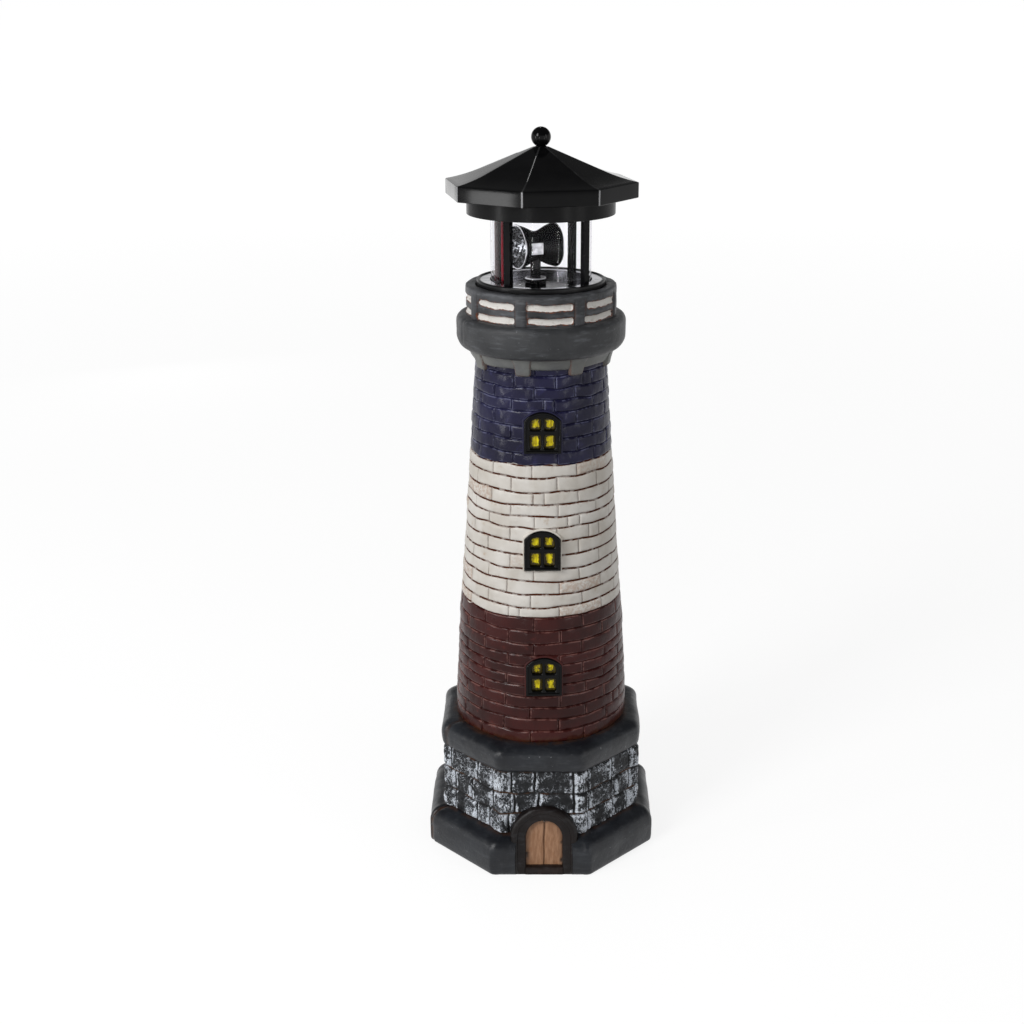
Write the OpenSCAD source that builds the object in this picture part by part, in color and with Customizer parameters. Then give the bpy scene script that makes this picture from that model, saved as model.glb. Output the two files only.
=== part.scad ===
// Garden lighthouse ornament: a hollow cast tower with a solar lantern head.
// Millimetres, +Z up. The origin is the middle of the flat underside.
// The front, with the door and the windows, faces -Y.

/* [Tower casting] */
// Height of the whole ornament, ground to the top of the finial
total_h = 375; // [372:0.5:380]
// Width of the plinth across its flats
plinth_w = 120; // [116:1:126]
// Height at which the plinth meets the stone wall
plinth_h = 20; // [16:0.5:23]
// Width of the stone wall across its flats
wall_w = 102; // [100:0.5:105]
// Height of the underside of the ledge
ledge_z = 56; // [52:0.5:58]
// Height of the ledge band
ledge_h = 14; // [12:0.5:17]
// How far the ledge stands out from the stone wall
ledge_reach = 2; // [1:0.25:3]
// Radius of the brick tower where it meets the ledge
tower_foot_r = 46; // [44:0.25:47]
// Radius of the brick tower under the corbels
tower_top_r = 33.5; // [33:0.25:34]
// Number of brick courses
course_n = 31; // [27:2:35]
// Width of a mortar joint
joint_w = 1.6; // [1:0.1:2]
// Depth of a mortar joint
joint_depth = 0.8; // [0.4:0.1:1.2]
// Number of stone rows in the wall
stone_rows = 3; // [2:1:4]
// Thickness of the cast wall
cast_wall = 4.2; // [3.6:0.1:4.5]

/* [Gallery] */
// Radius of the corbelled skirt where it leaves the gallery band
skirt_r = 38.6; // [37:0.2:39.5]
// How far the skirt hangs below the gallery band
skirt_drop = 5.5; // [4.5:0.25:6.5]
// Number of corbels, uprights and railing bays
bay_count = 8; // [6:1:10]
// Width of a corbel
corbel_w = 8; // [5:0.5:10]
// How far the corbels hang below the gallery band
corbel_drop = 8.7; // [7.5:0.1:10]
// Height of the gallery band
band_h = 16.4; // [14:0.2:17]
// Radius of the gallery band
band_r = 42.2; // [41:0.2:44]
// Outer radius of the railing drum
rail_r = 37.5; // [36.8:0.1:38]
// Height of the railing drum above the gallery band
rail_h = 14.6; // [14:0.1:15.5]
// Height of a painted slot in the railing
slot_h = 3; // [2:0.1:3.6]
// Depth of a slot
slot_depth = 1; // [0.5:0.1:1.4]
// Angle that a slot spans
slot_span = 33; // [20:1:36]
// Height of the lower row's middle above the gallery band
slot_rise = 2.3; // [1.9:0.1:2.9]
// Distance between the rows
slot_pitch = 6.4; // [5:0.1:7]
// Turn of the uprights and corbels away from the front
rail_turn = -15; // [-22:1:22]

/* [Windows and door] */
// Width of a window surround
window_w = 18.2; // [16:0.2:20]
// Height of a window surround
window_h = 20.6; // [19:0.2:23]
// Rise of the arched head above its shoulders
window_rise = 4.5; // [3:0.25:7]
// Width of the surround's border
window_border = 2.7; // [2:0.1:3.4]
// Width of a glazing bar
bar_w = 2; // [1.2:0.1:2.6]
// How far the surround stands out from the bricks
window_proud = 1.2; // [0.6:0.1:2]
// Thickness of a yellow pane
pane_t = 1.6; // [1:0.1:1.9]
// Place of each window sill as a share of the brick tower's height, lowest first
window_shares = [0.1286, 0.4776, 0.7827];
// Turn of each window away from the front
window_turns = [1.9, 1, 1.2];
// Width of the door's surround
door_frame_w = 33.5; // [30:0.5:38]
// Width of the door opening
door_w = 18; // [14:0.5:22]
// Height of the door opening's crown
door_h = 27; // [24:0.5:30]
// Height of the doorstep
step_h = 4.7; // [1:0.1:6]
// How far the door's face leans back
door_lean = 8; // [5:0.5:10]
// How far the inner moulding is sunk
moulding_step = 1.2; // [0.6:0.1:2]
// How far the door panel is sunk
door_sink = 4.2; // [2.5:0.1:6]

/* [Roof] */
// Corner radius of the octagonal roof
roof_r = 47.6; // [46.6:0.2:50]
// Height of the roof with its finial, above the eaves' lower edge
roof_h = 32.4; // [31.8:0.1:33.4]
// Height of the upright fascia
fascia_h = 7.3; // [6.5:0.1:8]
// Pitch of the upper part of the roof
roof_pitch = 23.6; // [21:0.2:24.5]
// Pitch at the eaves
eaves_pitch = 11; // [6:0.5:16]
// Thickness of the moulded roof
roof_wall = 1.8; // [1.6:0.1:2.2]
// Turn of the roof's corners away from the front
roof_turn = -10.5; // [-22:0.5:22]
// Diameter of the finial ball
ball_d = 9.6; // [8:0.2:11]
// Thickness of a solar cell
cell_t = 1; // [0.8:0.1:1]
// Radius of the drum under the roof
collar_r = 36.2; // [35:0.1:36.6]
// How far the drum hangs below the eaves
collar_drop = 8.1; // [7.4:0.1:9]
// Wall of the drum
collar_wall = 1.8; // [1.4:0.1:2.4]

/* [Lantern cage] */
// Outer radius of the clear sleeve
sleeve_r = 24.7; // [24.3:0.1:24.8]
// Thickness of the clear sleeve
sleeve_wall = 1.2; // [0.8:0.1:1.4]
// Width of a cage post
post_w = 3.6; // [3:0.1:4.4]
// Depth of a cage post, along the radius
post_t = 2.6; // [2.4:0.1:2.8]
// Turn of the first post away from the front
post_turn = -36.5; // [-40:0.5:-30]
// Radius of the reflector tray's rim
tray_r = 29.9; // [29.2:0.1:30.4]
// Thickness of the tray
tray_t = 1; // [0.8:0.1:1.1]
// Depth of the tray's well
well_depth = 3.3; // [3:0.1:3.4]
// Outer radius of the black ring
ring_r = 31.8; // [31.2:0.1:32]
// Clear height of the cage, from the black ring to the drum under the roof
cage_h = 33.2; // [32.6:0.1:34]
// How far the black ring stands above the railing drum
ring_proud = 0.8; // [0.5:0.1:1.1]
// Depth of the shelf below the black ring's top
shelf_drop = 5.3; // [4.9:0.1:5.8]

/* [Beacon] */
// Sideways offset of the beacon's spindle from the tower's axis
spindle_x = -2.7; // [-3.2:0.1:-2]
// Height of the beacon's axis above the black ring
beacon_h = 17.1; // [16.7:0.1:17.7]
// Radius of a reflector's rim
rim_r = 10.9; // [10:0.1:11.2]
// Distance from the spindle's axis to the face of a rim
rim_reach = 10.2; // [9.8:0.1:11]
// Radius of the spool's waist
waist_r = 8.6; // [8:0.1:9]
// Direction that the left reflector faces, away from the front
beacon_turn = -63; // [-80:1:-50]
// Outer radius of the hollow spindle
spindle_r = 2.6; // [2.4:0.05:2.8]
// Inner radius of the hollow spindle
spindle_bore_r = 1.7; // [1.5:0.05:1.8]
// Radius of the fixed lamp stem
stem_r = 1.2; // [1:0.05:1.3]
// Radius of the bearing boss
boss_r = 5.2; // [4.8:0.1:5.4]
// How far the bearing boss stands above the black ring
boss_proud = 1.3; // [1:0.1:1.7]
// Radial clearance of the spindle in its bearings
run_gap = 0.06; // [0.03:0.01:0.1]

/* [Gear drive] */
// Gear module
gear_module = 0.6; // [0.5:0.05:0.6]
// Teeth on the driven gear
gear_teeth = 40; // [36:4:44]
// Teeth on the motor pinion
pinion_teeth = 12; // [12:1:14]
// Face width of the gears
gear_w = 3; // [2:0.25:3.4]
// Backlash taken off each tooth
backlash = 0.12; // [0.08:0.01:0.2]
// Radius of the motor can
motor_r = 7.5; // [6.5:0.25:8]
// Length of the motor can
motor_h = 17; // [12:0.5:17.5]
// Radius of the motor shaft
shaft_r = 0.8; // [0.6:0.05:1]

/* [Housing] */
// Outer radius of the lower cup
cup_r = 28.8; // [28.2:0.1:29]
// Wall of the lower cup
cup_wall = 1.6; // [1.4:0.1:1.8]
// Depth of the cup below the shelf
cup_drop = 46; // [45.5:0.5:47.5]
// Thickness of the cup's floor
cup_floor = 2; // [1.6:0.1:2.4]
// Diameter of the cell, a small cylindrical one
battery_d = 10.5; // [10.1:0.1:10.6]
// Length of the cell
battery_l = 44.5; // [43.5:0.1:44.6]
// Wall of the battery box
box_wall = 1.2; // [1:0.1:1.4]
// Travel of the switch knob
switch_travel = 2.5; // [1.5:0.25:3]
// Clearance between pieces that are put together by hand
fit_gap = 0.3; // [0.2:0.05:0.4]

/* [Hidden] */
$fn = 64;
eps = 0.01;

// Clearance round pieces that are glued or clamped into a seat
seat_gap = 0.1;
// Half of the angle that one side of an octagon spans
half_side = 22.5;

// Heights, from the finial down
eaves_z = total_h - roof_h;
collar_z = eaves_z - collar_drop;
ring_top_z = collar_z - cage_h;
beacon_z = ring_top_z + beacon_h;
boss_top_z = ring_top_z + boss_proud;
shelf_z = ring_top_z - shelf_drop;
cup_z = shelf_z - cup_drop;
rail_top_z = ring_top_z - ring_proud;
band_top_z = rail_top_z - rail_h;
slot_low_z = band_top_z + slot_rise;
band_z = band_top_z - band_h;
skirt_z = band_z - skirt_drop;
corbel_z = band_z - corbel_drop;
tower_top_z = band_z - 3.5;

// Tower
ledge_top_z = ledge_z + ledge_h;
brick_h = tower_top_z - ledge_top_z;
course_h = brick_h/course_n;
stone_h = (ledge_z - plinth_h)/stone_rows;
window_sills = [for (share = window_shares) ledge_top_z + share*brick_h];
bay = 360/bay_count;
door_depth = 14;
door_crown = door_h + (door_frame_w - door_w)/2;
light_w = window_w - 2*window_border;
light_h = window_h - 2*window_border;
pane_w = light_w + window_border;
pane_h = light_h + window_border;
pane_depth = 1.2;
bar_height = 0.47*light_h;
cover_r = 44;
cover_t = 1.8;
cover_lift = 1;
tower_slope = (tower_foot_r - tower_top_r)/brick_h;
taper = atan(tower_slope);
bore_r = cup_r + 0.8;
ring_seat_r = ring_r + fit_gap;

// Roof
roof_apothem = roof_r*cos(half_side);
rim_z = eaves_z + fascia_h;
apex_r = 3.4;
knee_a = 0.66*roof_apothem;
roof_steps = 6;
eave_run = roof_apothem - knee_a;
function eave_drop(i) = i <= 0 ? 0 :
    eave_drop(i - 1) + eave_run/roof_steps
        *tan(roof_pitch + (eaves_pitch - roof_pitch)*(i - 0.5)/roof_steps);
knee_z = rim_z + eave_drop(roof_steps);
apex_z = knee_z + (knee_a - apex_r)*tan(roof_pitch);
ball_z = total_h - ball_d/2;
neck_r = 2.3;
spigot_r = 1.7;
spigot_l = 5;
cell_mid_a = 20;
cell_len = 16;
cell_margin = 1.4;
facet_turn = roof_turn + half_side;
soffit_t = 1.6;
soffit_z = eaves_z + 0.8;
soffit_top_z = soffit_z + soffit_t;
roof_screw_r = (collar_r + roof_apothem - roof_wall)/2;
ceiling_t = 2.4;
sleeve_seat = 1.4;

// Lantern base
tray_rim_z = ring_top_z + tray_t;
well_top_z = tray_rim_z - well_depth;
well_z = well_top_z - tray_t;
well_r = sleeve_r + 0.5;
well_out_r = well_r + tray_t;
ring_inner_r = well_r - 1.7;
ring_floor_z = well_z - 4;
post_r = sleeve_r + 0.2 + post_t/2;
post_foot_z = ring_floor_z + 1.5;
post_hole_l = 5.5;
plate_t = 2;
drive_z = ring_floor_z - plate_t;
plate_r = cup_r - cup_wall - 0.2;
gear_z = drive_z - 1.2 - gear_w;
gear_play = 0.3;
gear_hub_r = spindle_r + 1.8;
gear_hub_over = 0.7;
motor_plate_top = gear_z - gear_hub_over - gear_play;
motor_plate_z = motor_plate_top - plate_t;
bush_r = spindle_r + 1.4;
bush_l = 4.6;
flange_t = 0.6;
motor_screw_y = motor_r - 2;
motor_screw_r = 0.6;
motor_screw_l = 1.8;
pilot_r = 2.5;
motor_x = spindle_x + gear_module*(gear_teeth + pinion_teeth)/2;
board_t = 1.6;
board_z = motor_plate_z - 8.5;
board_x0 = -23;
board_x1 = 4;
board_half = 13;
board_pegs = [[-12, -9], [-12, 9]];
drive_pegs = [[-22, -10], [-22, 10], [18.4, 16]];
cup_pegs = [[-19, -15], [14, 20]];
peg_r = 2.2;
cup_peg_r = 3;
screw_r = 0.8;
head_r = 1.7;
head_t = 1;
cup_screw_z = motor_plate_z - 6;

// Beacon
throat_r = 3.7;
web = 2.4;
shell_t = 0.8;
reflector_t = 0.5;
lens_t = 0.7;
reflector_face = rim_reach - lens_t - 0.3;
dish_mouth_r = rim_r - shell_t - 0.1;
dish_curve = (pow(dish_mouth_r, 2) - pow(throat_r, 2))/(reflector_face - web);
function dish_r(d) = sqrt(pow(throat_r, 2) + dish_curve*(d - web));
lamp_window_from = 0.5;
lamp_window_l = 6.2;
lamp_window_half = 2.7;
lamp_window_r = waist_r + 0.1;
lamp_window_t = 0.8;
lamp_r = 1.5;
lamp_top = 0.5;
lamp_foot = 2.5;

// Battery box and switch
box_y = 3;
battery_gap = 0.2;
door_t = 1.6;
box_in_w = battery_d + 2*battery_gap;
box_in_l = battery_l + 6;
battery_z = cup_z + cup_floor + battery_d/2 + seat_gap;
box_top_z = battery_z + battery_d/2 + 0.3;
spring_room = 2.6;
stud_l = 0.6;
battery_x = (spring_room - stud_l)/2;
contact_t = 0.4;
contact_w = 8;
tab_t = 1.2;
tab_w = 8;
tab_l = 5.2;
door_screw_x = 0;
door_screw_y = box_y + box_in_w/2 + 2.6;
screw_play = 0.05;
switch_y = -14.5;
switch_l = 9;
switch_w = 4.2;
switch_t = 3.8;
knob_l = 3;
knob_w = 2;
knob_slot_l = knob_l + switch_travel + 2*fit_gap;
lamp_x = -2;
lamp_y = 17;
window_lamp_r = 2.5;
window_lamp_drop = 2.4;

// Wires, each with its turn away from the front
wire_t = 1.2;
wire_r = 22.4;
wire_turns = [-121, -132];
wire_gap = 0.25;

// ---------- shared shapes ----------

// A body of eight equal sides: the points give its half width at each height.
module octagon_body(points) {
    outline = concat(points, [for (i = [len(points) - 1:-1:0]) [-points[i][0], points[i][1]]]);
    reach = 2.4*max([for (p = points) p[0]]);
    intersection_for(k = [0:3]) {
        rotate([90, 0, 45*k])
            linear_extrude(reach, center = true) polygon(outline);
    }
}

module ring(r_out, r_in, z, h) {
    translate([0, 0, z]) difference() {
        cylinder(r = r_out, h = h);
        translate([0, 0, -eps]) cylinder(r = r_in, h = h + 2*eps);
    }
}

module disc(r, z, h) {
    translate([0, 0, z]) cylinder(r = r, h = h);
}

// A part turned about the vertical axis so that it faces an angle from the front
module facing(angle) {
    rotate([0, 0, angle]) children();
}

module at_pegs(places) {
    for (p = places) translate([p[0], p[1], 0]) children();
}

// A screw pointing up, with its head's underside at z
module screw_up(z, len, r = screw_r) {
    disc(r, z - eps, len + eps);
    disc(head_r, z - head_t, head_t);
}

// A window or door outline with its foot on the x axis and a round head
module arch(w, h, rise) {
    head_radius = (w*w/4 + rise*rise)/(2*rise);
    half_angle = rise < w/2 ? asin(w/2/head_radius) : 90;
    steps = 16;
    polygon(concat(
        [[-w/2, 0], [w/2, 0]],
        [for (i = [0:steps]) let (a = half_angle*(1 - 2*i/steps))
            [head_radius*sin(a), h - head_radius + head_radius*cos(a)]]
    ));
}

function tower_r(z) = tower_foot_r - (z - ledge_top_z)*tower_slope;

// Puts an outline's foot on the brick face at a height, standing square to the face
module on_brick_face(z, turn) {
    facing(turn) translate([0, -tower_r(z), z]) rotate([90 - taper, 0, 0]) children();
}

// ---------- tower casting ----------

module plinth_and_wall() {
    half = plinth_w/2;
    wall = wall_w/2;
    lip = wall + ledge_reach;
    difference() {
        octagon_body(concat(
            [
                [half - 1, 0], [half, 0.15*plinth_h], [half, 0.425*plinth_h],
                [half - 0.5, 0.575*plinth_h], [half - 1.8, 0.71*plinth_h],
                [half - 4, 0.83*plinth_h], [wall + 3, plinth_h - 1.6], [wall, plinth_h]
            ],
            [for (i = [1:stone_rows - 1]) each joint_notch(plinth_h + i*stone_h, wall, wall)],
            [
                [wall, ledge_z], [lip - 0.8, ledge_z + 0.5], [lip - 0.1, ledge_z + 2.5],
                [lip, ledge_z + 6], [lip - 0.3, ledge_z + 9], [lip - 1.3, ledge_top_z - 2.4],
                [lip - 3, ledge_top_z - 0.8], [lip - 5.4, ledge_top_z],
                [tower_foot_r/2, ledge_top_z + 0.4]
            ]
        ));
        stone_joints();
    }
}

// A notch for a mortar joint at a height, between a radius below it and one above it
function joint_notch(z, r_below, r_above) = [
    [r_below, z - joint_w/2], [(r_below + r_above)/2 - joint_depth, z], [r_above, z + joint_w/2]
];

// Upright joints of the stone wall, nearer to the corners in every second row
module stone_joints() {
    side = wall_w*tan(half_side);
    for (k = [0:7], i = [0:stone_rows - 1], hand = [-1, 1]) {
        from_corner = i%2 == 0 ? 0.16*side : 0.26*side;
        facing(45*k)
            translate([hand*(side/2 - from_corner) - joint_w/2, -wall_w/2 - 1, plinth_h + i*stone_h])
                cube([joint_w, 1 + joint_depth, stone_h]);
    }
}

// The round upper part: brick tower, skirt, gallery band and railing drum
module round_tower() {
    bulge = 3.4;
    rotate_extrude($fn = 128) {
        difference() {
            union() {
                polygon(concat(
                    [[0, ledge_z], [tower_foot_r, ledge_z], [tower_foot_r, ledge_top_z]],
                    [for (i = [1:2:course_n - 2]) let (z = ledge_top_z + i*course_h)
                        each joint_notch(z, tower_r(z - joint_w/2), tower_r(z + joint_w/2))],
                    [[tower_top_r, tower_top_z], [tower_top_r, band_z + 2], [0, band_z + 2]]
                ));
                polygon([
                    [0, skirt_z], [tower_top_r + 1.2, skirt_z], [tower_top_r + 2.4, skirt_z + 1.4],
                    [skirt_r - 0.6, band_z - 1.5], [skirt_r + 0.6, band_z], [skirt_r, band_z + 2],
                    [0, band_z + 2]
                ]);
                translate([0, band_z]) square([band_r - bulge, band_h]);
                translate([band_r - bulge - 1, band_z + bulge]) square([bulge + 1, band_h - 2*bulge]);
                for (z = [band_z + bulge, band_top_z - bulge]) {
                    translate([band_r - bulge, z]) circle(r = bulge);
                }
                polygon([
                    [0, band_top_z - 1], [rail_r, band_top_z - 1], [rail_r, rail_top_z - 1.6],
                    [rail_r - 0.4, rail_top_z - 0.6], [rail_r - 1.4, rail_top_z], [0, rail_top_z]
                ]);
            }
            translate([-bulge, 0]) square([bulge, total_h]);
        }
    }
}

module corbels() {
    corbel_out = skirt_r - 0.4;
    for (k = [0:bay_count - 1]) {
        facing(rail_turn + k*bay)
            rotate([90, 0, 90])
                translate([0, 0, -corbel_w/2]) linear_extrude(corbel_w)
                    polygon([
                        [-tower_top_r + 2, corbel_z + 1], [-tower_top_r - 1.2, corbel_z],
                        [-tower_top_r - 2.2, corbel_z + 0.7], [-corbel_out, band_z - 2],
                        [-corbel_out, band_z + 1], [-tower_top_r + 2, band_z + 1]
                    ]);
    }
}

module railing_slots() {
    for (k = [0:bay_count - 1], z = [slot_low_z, slot_low_z + slot_pitch]) {
        facing(rail_turn + (k + 0.5)*bay)
            rotate([0, 0, -90 - slot_span/2])
                rotate_extrude(angle = slot_span)
                    translate([rail_r - slot_depth, z - slot_h/2]) square([slot_depth + 2, slot_h]);
    }
}

// Hollow of the casting: base, tower, lantern bore and the seat for the black ring
module tower_hollow() {
    inner_foot = tower_foot_r - cast_wall;
    inner_wall = wall_w/2 - cast_wall - 0.6;
    rotate_extrude($fn = 128)
        polygon([
            [0, -1], [cover_r + seat_gap, -1], [cover_r + seat_gap, cover_lift + cover_t],
            [inner_wall, cover_lift + cover_t + 1.6], [inner_wall, ledge_z - 4],
            [inner_foot, ledge_top_z - 4], [bore_r + 0.1, tower_top_z - 18],
            [bore_r, tower_top_z - 14], [bore_r, shelf_z], [ring_seat_r, shelf_z],
            [ring_seat_r, rail_top_z + 1], [0, rail_top_z + 1]
        ]);
}

module window_surround() {
    foot = cast_wall - 0.4;
    translate([0, 0, -foot]) linear_extrude(foot + window_proud) arch(window_w, window_h, window_rise);
}

// The four lights, with the rebate behind them that the pane sits in
module window_lights() {
    through = cast_wall + 6;
    translate([0, window_border, -through]) linear_extrude(2*through) difference() {
        arch(light_w, light_h, window_rise*0.8);
        translate([-bar_w/2, -1]) square([bar_w, light_h + 2]);
        translate([-light_w, bar_height - bar_w/2]) square([2*light_w, bar_w]);
    }
    translate([0, window_border/2, -through])
        linear_extrude(through - pane_depth) arch(pane_w, pane_h, window_rise);
}

module window_pane(i) {
    color("gold") on_brick_face(window_sills[i], window_turns[i])
        translate([0, window_border/2, -pane_depth - pane_t])
            linear_extrude(pane_t) arch(pane_w, pane_h, window_rise);
}

// The door's face leans back from the ground, so that its arch meets the stone wall
module on_door_face() {
    translate([0, -plinth_w/2, 0]) rotate([90 - door_lean, 0, 0]) children();
}

module door_arch(w, crown, from, depth) {
    translate([0, 0, from]) linear_extrude(depth) arch(w, crown, w/2);
}

module door_surround() {
    intersection() {
        on_door_face() door_arch(door_frame_w, door_crown, -door_depth, door_depth);
        translate([-plinth_w/2, -plinth_w, 0]) cube([plinth_w, plinth_w, ledge_z]);
    }
}

// Clears the plinth in front of the surround, then sinks the inner moulding and the door
module door_recess() {
    inner_w = (door_frame_w + door_w)/2;
    inner_crown = (door_crown + door_h)/2;
    clear = 6;
    on_door_face() {
        translate([0, -2, 0]) door_arch(door_frame_w, door_crown + 2, 0, clear);
        door_arch(inner_w, inner_crown, -moulding_step, clear + moulding_step);
        translate([0, step_h, 0])
            door_arch(door_w, door_h - step_h, -door_sink, clear + door_sink);
    }
}

module at_windows() {
    for (i = [0:2]) on_brick_face(window_sills[i], window_turns[i]) children();
}

module tower_shell() {
    color("dimgray") difference() {
        union() {
            plinth_and_wall();
            round_tower();
            corbels();
            door_surround();
            at_windows() window_surround();
        }
        tower_hollow();
        door_recess();
        railing_slots();
        at_windows() window_lights();
    }
}

module base_cover() {
    color("black") disc(cover_r, cover_lift, cover_t);
}

// ---------- roof ----------

function roof_profile(inset) = concat(
    [[roof_apothem - inset, eaves_z - (inset > 0 ? 1 : 0)]],
    [for (i = [0:roof_steps])
        [roof_apothem - eave_run*i/roof_steps - (i == 0 ? inset : inset*0.4),
         rim_z + eave_drop(roof_steps) - eave_drop(roof_steps - i) - inset*1.05]],
    [[apex_r, apex_z - inset*1.08]]
);

module cell_outline(grow) {
    side = tan(half_side);
    a0 = cell_mid_a - cell_len/2 - grow;
    a1 = cell_mid_a + cell_len/2 + grow;
    edge = cell_margin - grow;
    polygon([
        [-a0*side + edge, -a0], [a0*side - edge, -a0],
        [a1*side - edge, -a1], [-a1*side + edge, -a1]
    ]);
}

// Puts a piece on the sloping face of the roof that looks toward an angle
module on_roof_face(k) {
    facing(facet_turn + 45*k)
        translate([0, 0, apex_z + apex_r*tan(roof_pitch)])
            rotate([roof_pitch, 0, 0]) children();
}

// Four places over the soffit, in the middle of every second side of the roof
module at_roof_screws() {
    for (k = [0:3]) facing(facet_turn + 90*k) translate([0, -roof_screw_r, 0]) children();
}

module roof() {
    color("black") difference() {
        union() {
            difference() {
                facing(facet_turn) octagon_body(roof_profile(0));
                facing(facet_turn) octagon_body(roof_profile(roof_wall));
            }
            intersection() {
                facing(facet_turn) octagon_body(roof_profile(0));
                union() {
                    at_roof_screws() disc(peg_r, soffit_top_z, apex_z - soffit_top_z);
                    disc(spigot_r + 2.2, apex_z - spigot_l - 1, spigot_l + 1);
                }
            }
        }
        at_roof_screws() disc(screw_r, soffit_top_z - 1, 4);
        disc(spigot_r + screw_play, apex_z - spigot_l - 2, spigot_l + 5);
        for (k = [3, 4, 5]) on_roof_face(k)
            translate([0, 0, -cell_t]) linear_extrude(cell_t + 1) cell_outline(seat_gap);
    }
}

module solar_cell(k) {
    color("midnightblue") on_roof_face(k)
        translate([0, 0, -cell_t]) linear_extrude(cell_t) cell_outline(0);
}

module finial() {
    color("black") {
        translate([0, 0, ball_z]) sphere(d = ball_d);
        disc(neck_r, apex_z, ball_z - apex_z);
        disc(spigot_r, apex_z - spigot_l, spigot_l + eps);
    }
}

// Drum under the roof, closed below, with the soffit that closes the eaves
module roof_collar() {
    color([0.1, 0.1, 0.11]) difference() {
        union() {
            ring(collar_r, collar_r - collar_wall, collar_z, soffit_z - collar_z + eps);
            disc(collar_r - eps, collar_z, ceiling_t);
            facing(facet_turn) octagon_body([
                [roof_apothem - roof_wall - fit_gap, soffit_z],
                [roof_apothem - roof_wall - fit_gap, soffit_top_z]
            ]);
        }
        disc(collar_r - collar_wall, collar_z + ceiling_t, soffit_top_z - collar_z);
        ring(sleeve_r + seat_gap, sleeve_r - sleeve_wall - seat_gap, collar_z - 1, 1 + sleeve_seat);
        at_roof_screws() disc(screw_r, soffit_z - 1, 4);
        at_posts() disc(screw_r, collar_z - 1, 6);
        wire_holes(collar_z - 1, 6);
    }
}

// ---------- cage ----------

module at_posts() {
    for (k = [0:3]) facing(post_turn + 90*k) translate([0, -post_r, 0]) children();
}

module cage_posts() {
    color("black") at_posts() difference() {
        translate([-post_w/2, -post_t/2, post_foot_z]) cube([post_w, post_t, collar_z - post_foot_z]);
        disc(screw_r, post_foot_z - 1, post_hole_l + 1);
        disc(screw_r, collar_z - post_hole_l, post_hole_l + 1);
    }
}

module post_slots(z, h) {
    at_posts() translate([-post_w/2 - seat_gap, -post_t/2 - seat_gap, z])
        cube([post_w + 2*seat_gap, post_t + 2*seat_gap, h]);
}

module clear_sleeve() {
    top_z = collar_z + sleeve_seat;
    color([0.9, 0.95, 1, 0.35]) rotate_extrude($fn = 128)
        translate([sleeve_r - sleeve_wall, well_top_z]) square([sleeve_wall, top_z - well_top_z]);
}

module reflector_tray() {
    color("silver") difference() {
        union() {
            disc(tray_r, ring_top_z, tray_t);
            disc(well_out_r, well_z, tray_rim_z - well_z);
        }
        disc(well_r, well_top_z, 10);
        translate([spindle_x, 0, 0]) disc(boss_r + seat_gap, well_z - 1, 4);
        post_slots(well_z - 1, 8);
        wire_holes(well_z - 1, 4);
    }
}

// Black ring that sits on the shelf in the railing drum and carries the cage
module housing_ring() {
    color([0.07, 0.07, 0.07]) difference() {
        union() {
            disc(ring_r, shelf_z, ring_top_z - shelf_z);
            disc(cup_r, ring_floor_z, shelf_z - ring_floor_z + eps);
        }
        disc(ring_inner_r, ring_floor_z - 1, 20);
        disc(well_out_r + seat_gap, well_z, 20);
        post_slots(post_foot_z, 20);
        at_posts() disc(screw_r, ring_floor_z - 1, 6);
    }
}

module wire_holes(z, h) {
    for (a = wire_turns) facing(a) translate([0, -wire_r, 0]) disc(wire_t/2 + wire_gap, z, h);
}

// ---------- drive ----------

module drive_plate() {
    color([0.15, 0.15, 0.16]) difference() {
        union() {
            disc(plate_r, drive_z, plate_t);
            translate([spindle_x, 0, 0]) disc(boss_r, drive_z, boss_top_z - flange_t - drive_z);
        }
        translate([spindle_x, 0, 0]) {
            disc(spindle_r + 0.5, drive_z - 1, boss_top_z - drive_z + 1);
            disc(bush_r, boss_top_z - bush_l, 10);
        }
        at_posts() disc(screw_r, drive_z - 1, 6);
        at_pegs(drive_pegs) disc(screw_r, drive_z - 1, 4);
        wire_holes(drive_z - 1, 4);
    }
}

// Flanged bearing: its rim shows as the bright ring on the boss
module bearing_bush() {
    color("silver") translate([spindle_x, 0, 0]) difference() {
        union() {
            disc(boss_r, boss_top_z - flange_t, flange_t);
            disc(bush_r, boss_top_z - bush_l, bush_l - flange_t + eps);
        }
        disc(spindle_r + run_gap, boss_top_z - 10, 20);
    }
}

module at_motor_screws() {
    for (side = [-1, 1]) translate([motor_x, side*motor_screw_y, 0]) children();
}

module motor_plate() {
    color([0.2, 0.2, 0.22]) difference() {
        union() {
            disc(plate_r, motor_plate_z, plate_t);
            at_pegs(drive_pegs) disc(peg_r, motor_plate_z, drive_z - motor_plate_z);
            at_pegs(board_pegs) disc(peg_r, board_z + board_t, motor_plate_z - board_z - board_t + eps);
        }
        translate([spindle_x, 0, 0]) disc(spindle_r + run_gap, motor_plate_z - 1, 4);
        translate([motor_x, 0, 0]) disc(pilot_r + seat_gap, motor_plate_z - 1, 4);
        at_pegs(drive_pegs) disc(screw_r, motor_plate_z - 1, 12);
        at_pegs(board_pegs) disc(screw_r, board_z, 4.6);
        at_pegs(cup_pegs) disc(screw_r, motor_plate_z - 1, 4);
        at_motor_screws() disc(motor_screw_r, motor_plate_z - 1, 4);
        wire_holes(motor_plate_z - 1, 4);
    }
}

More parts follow.
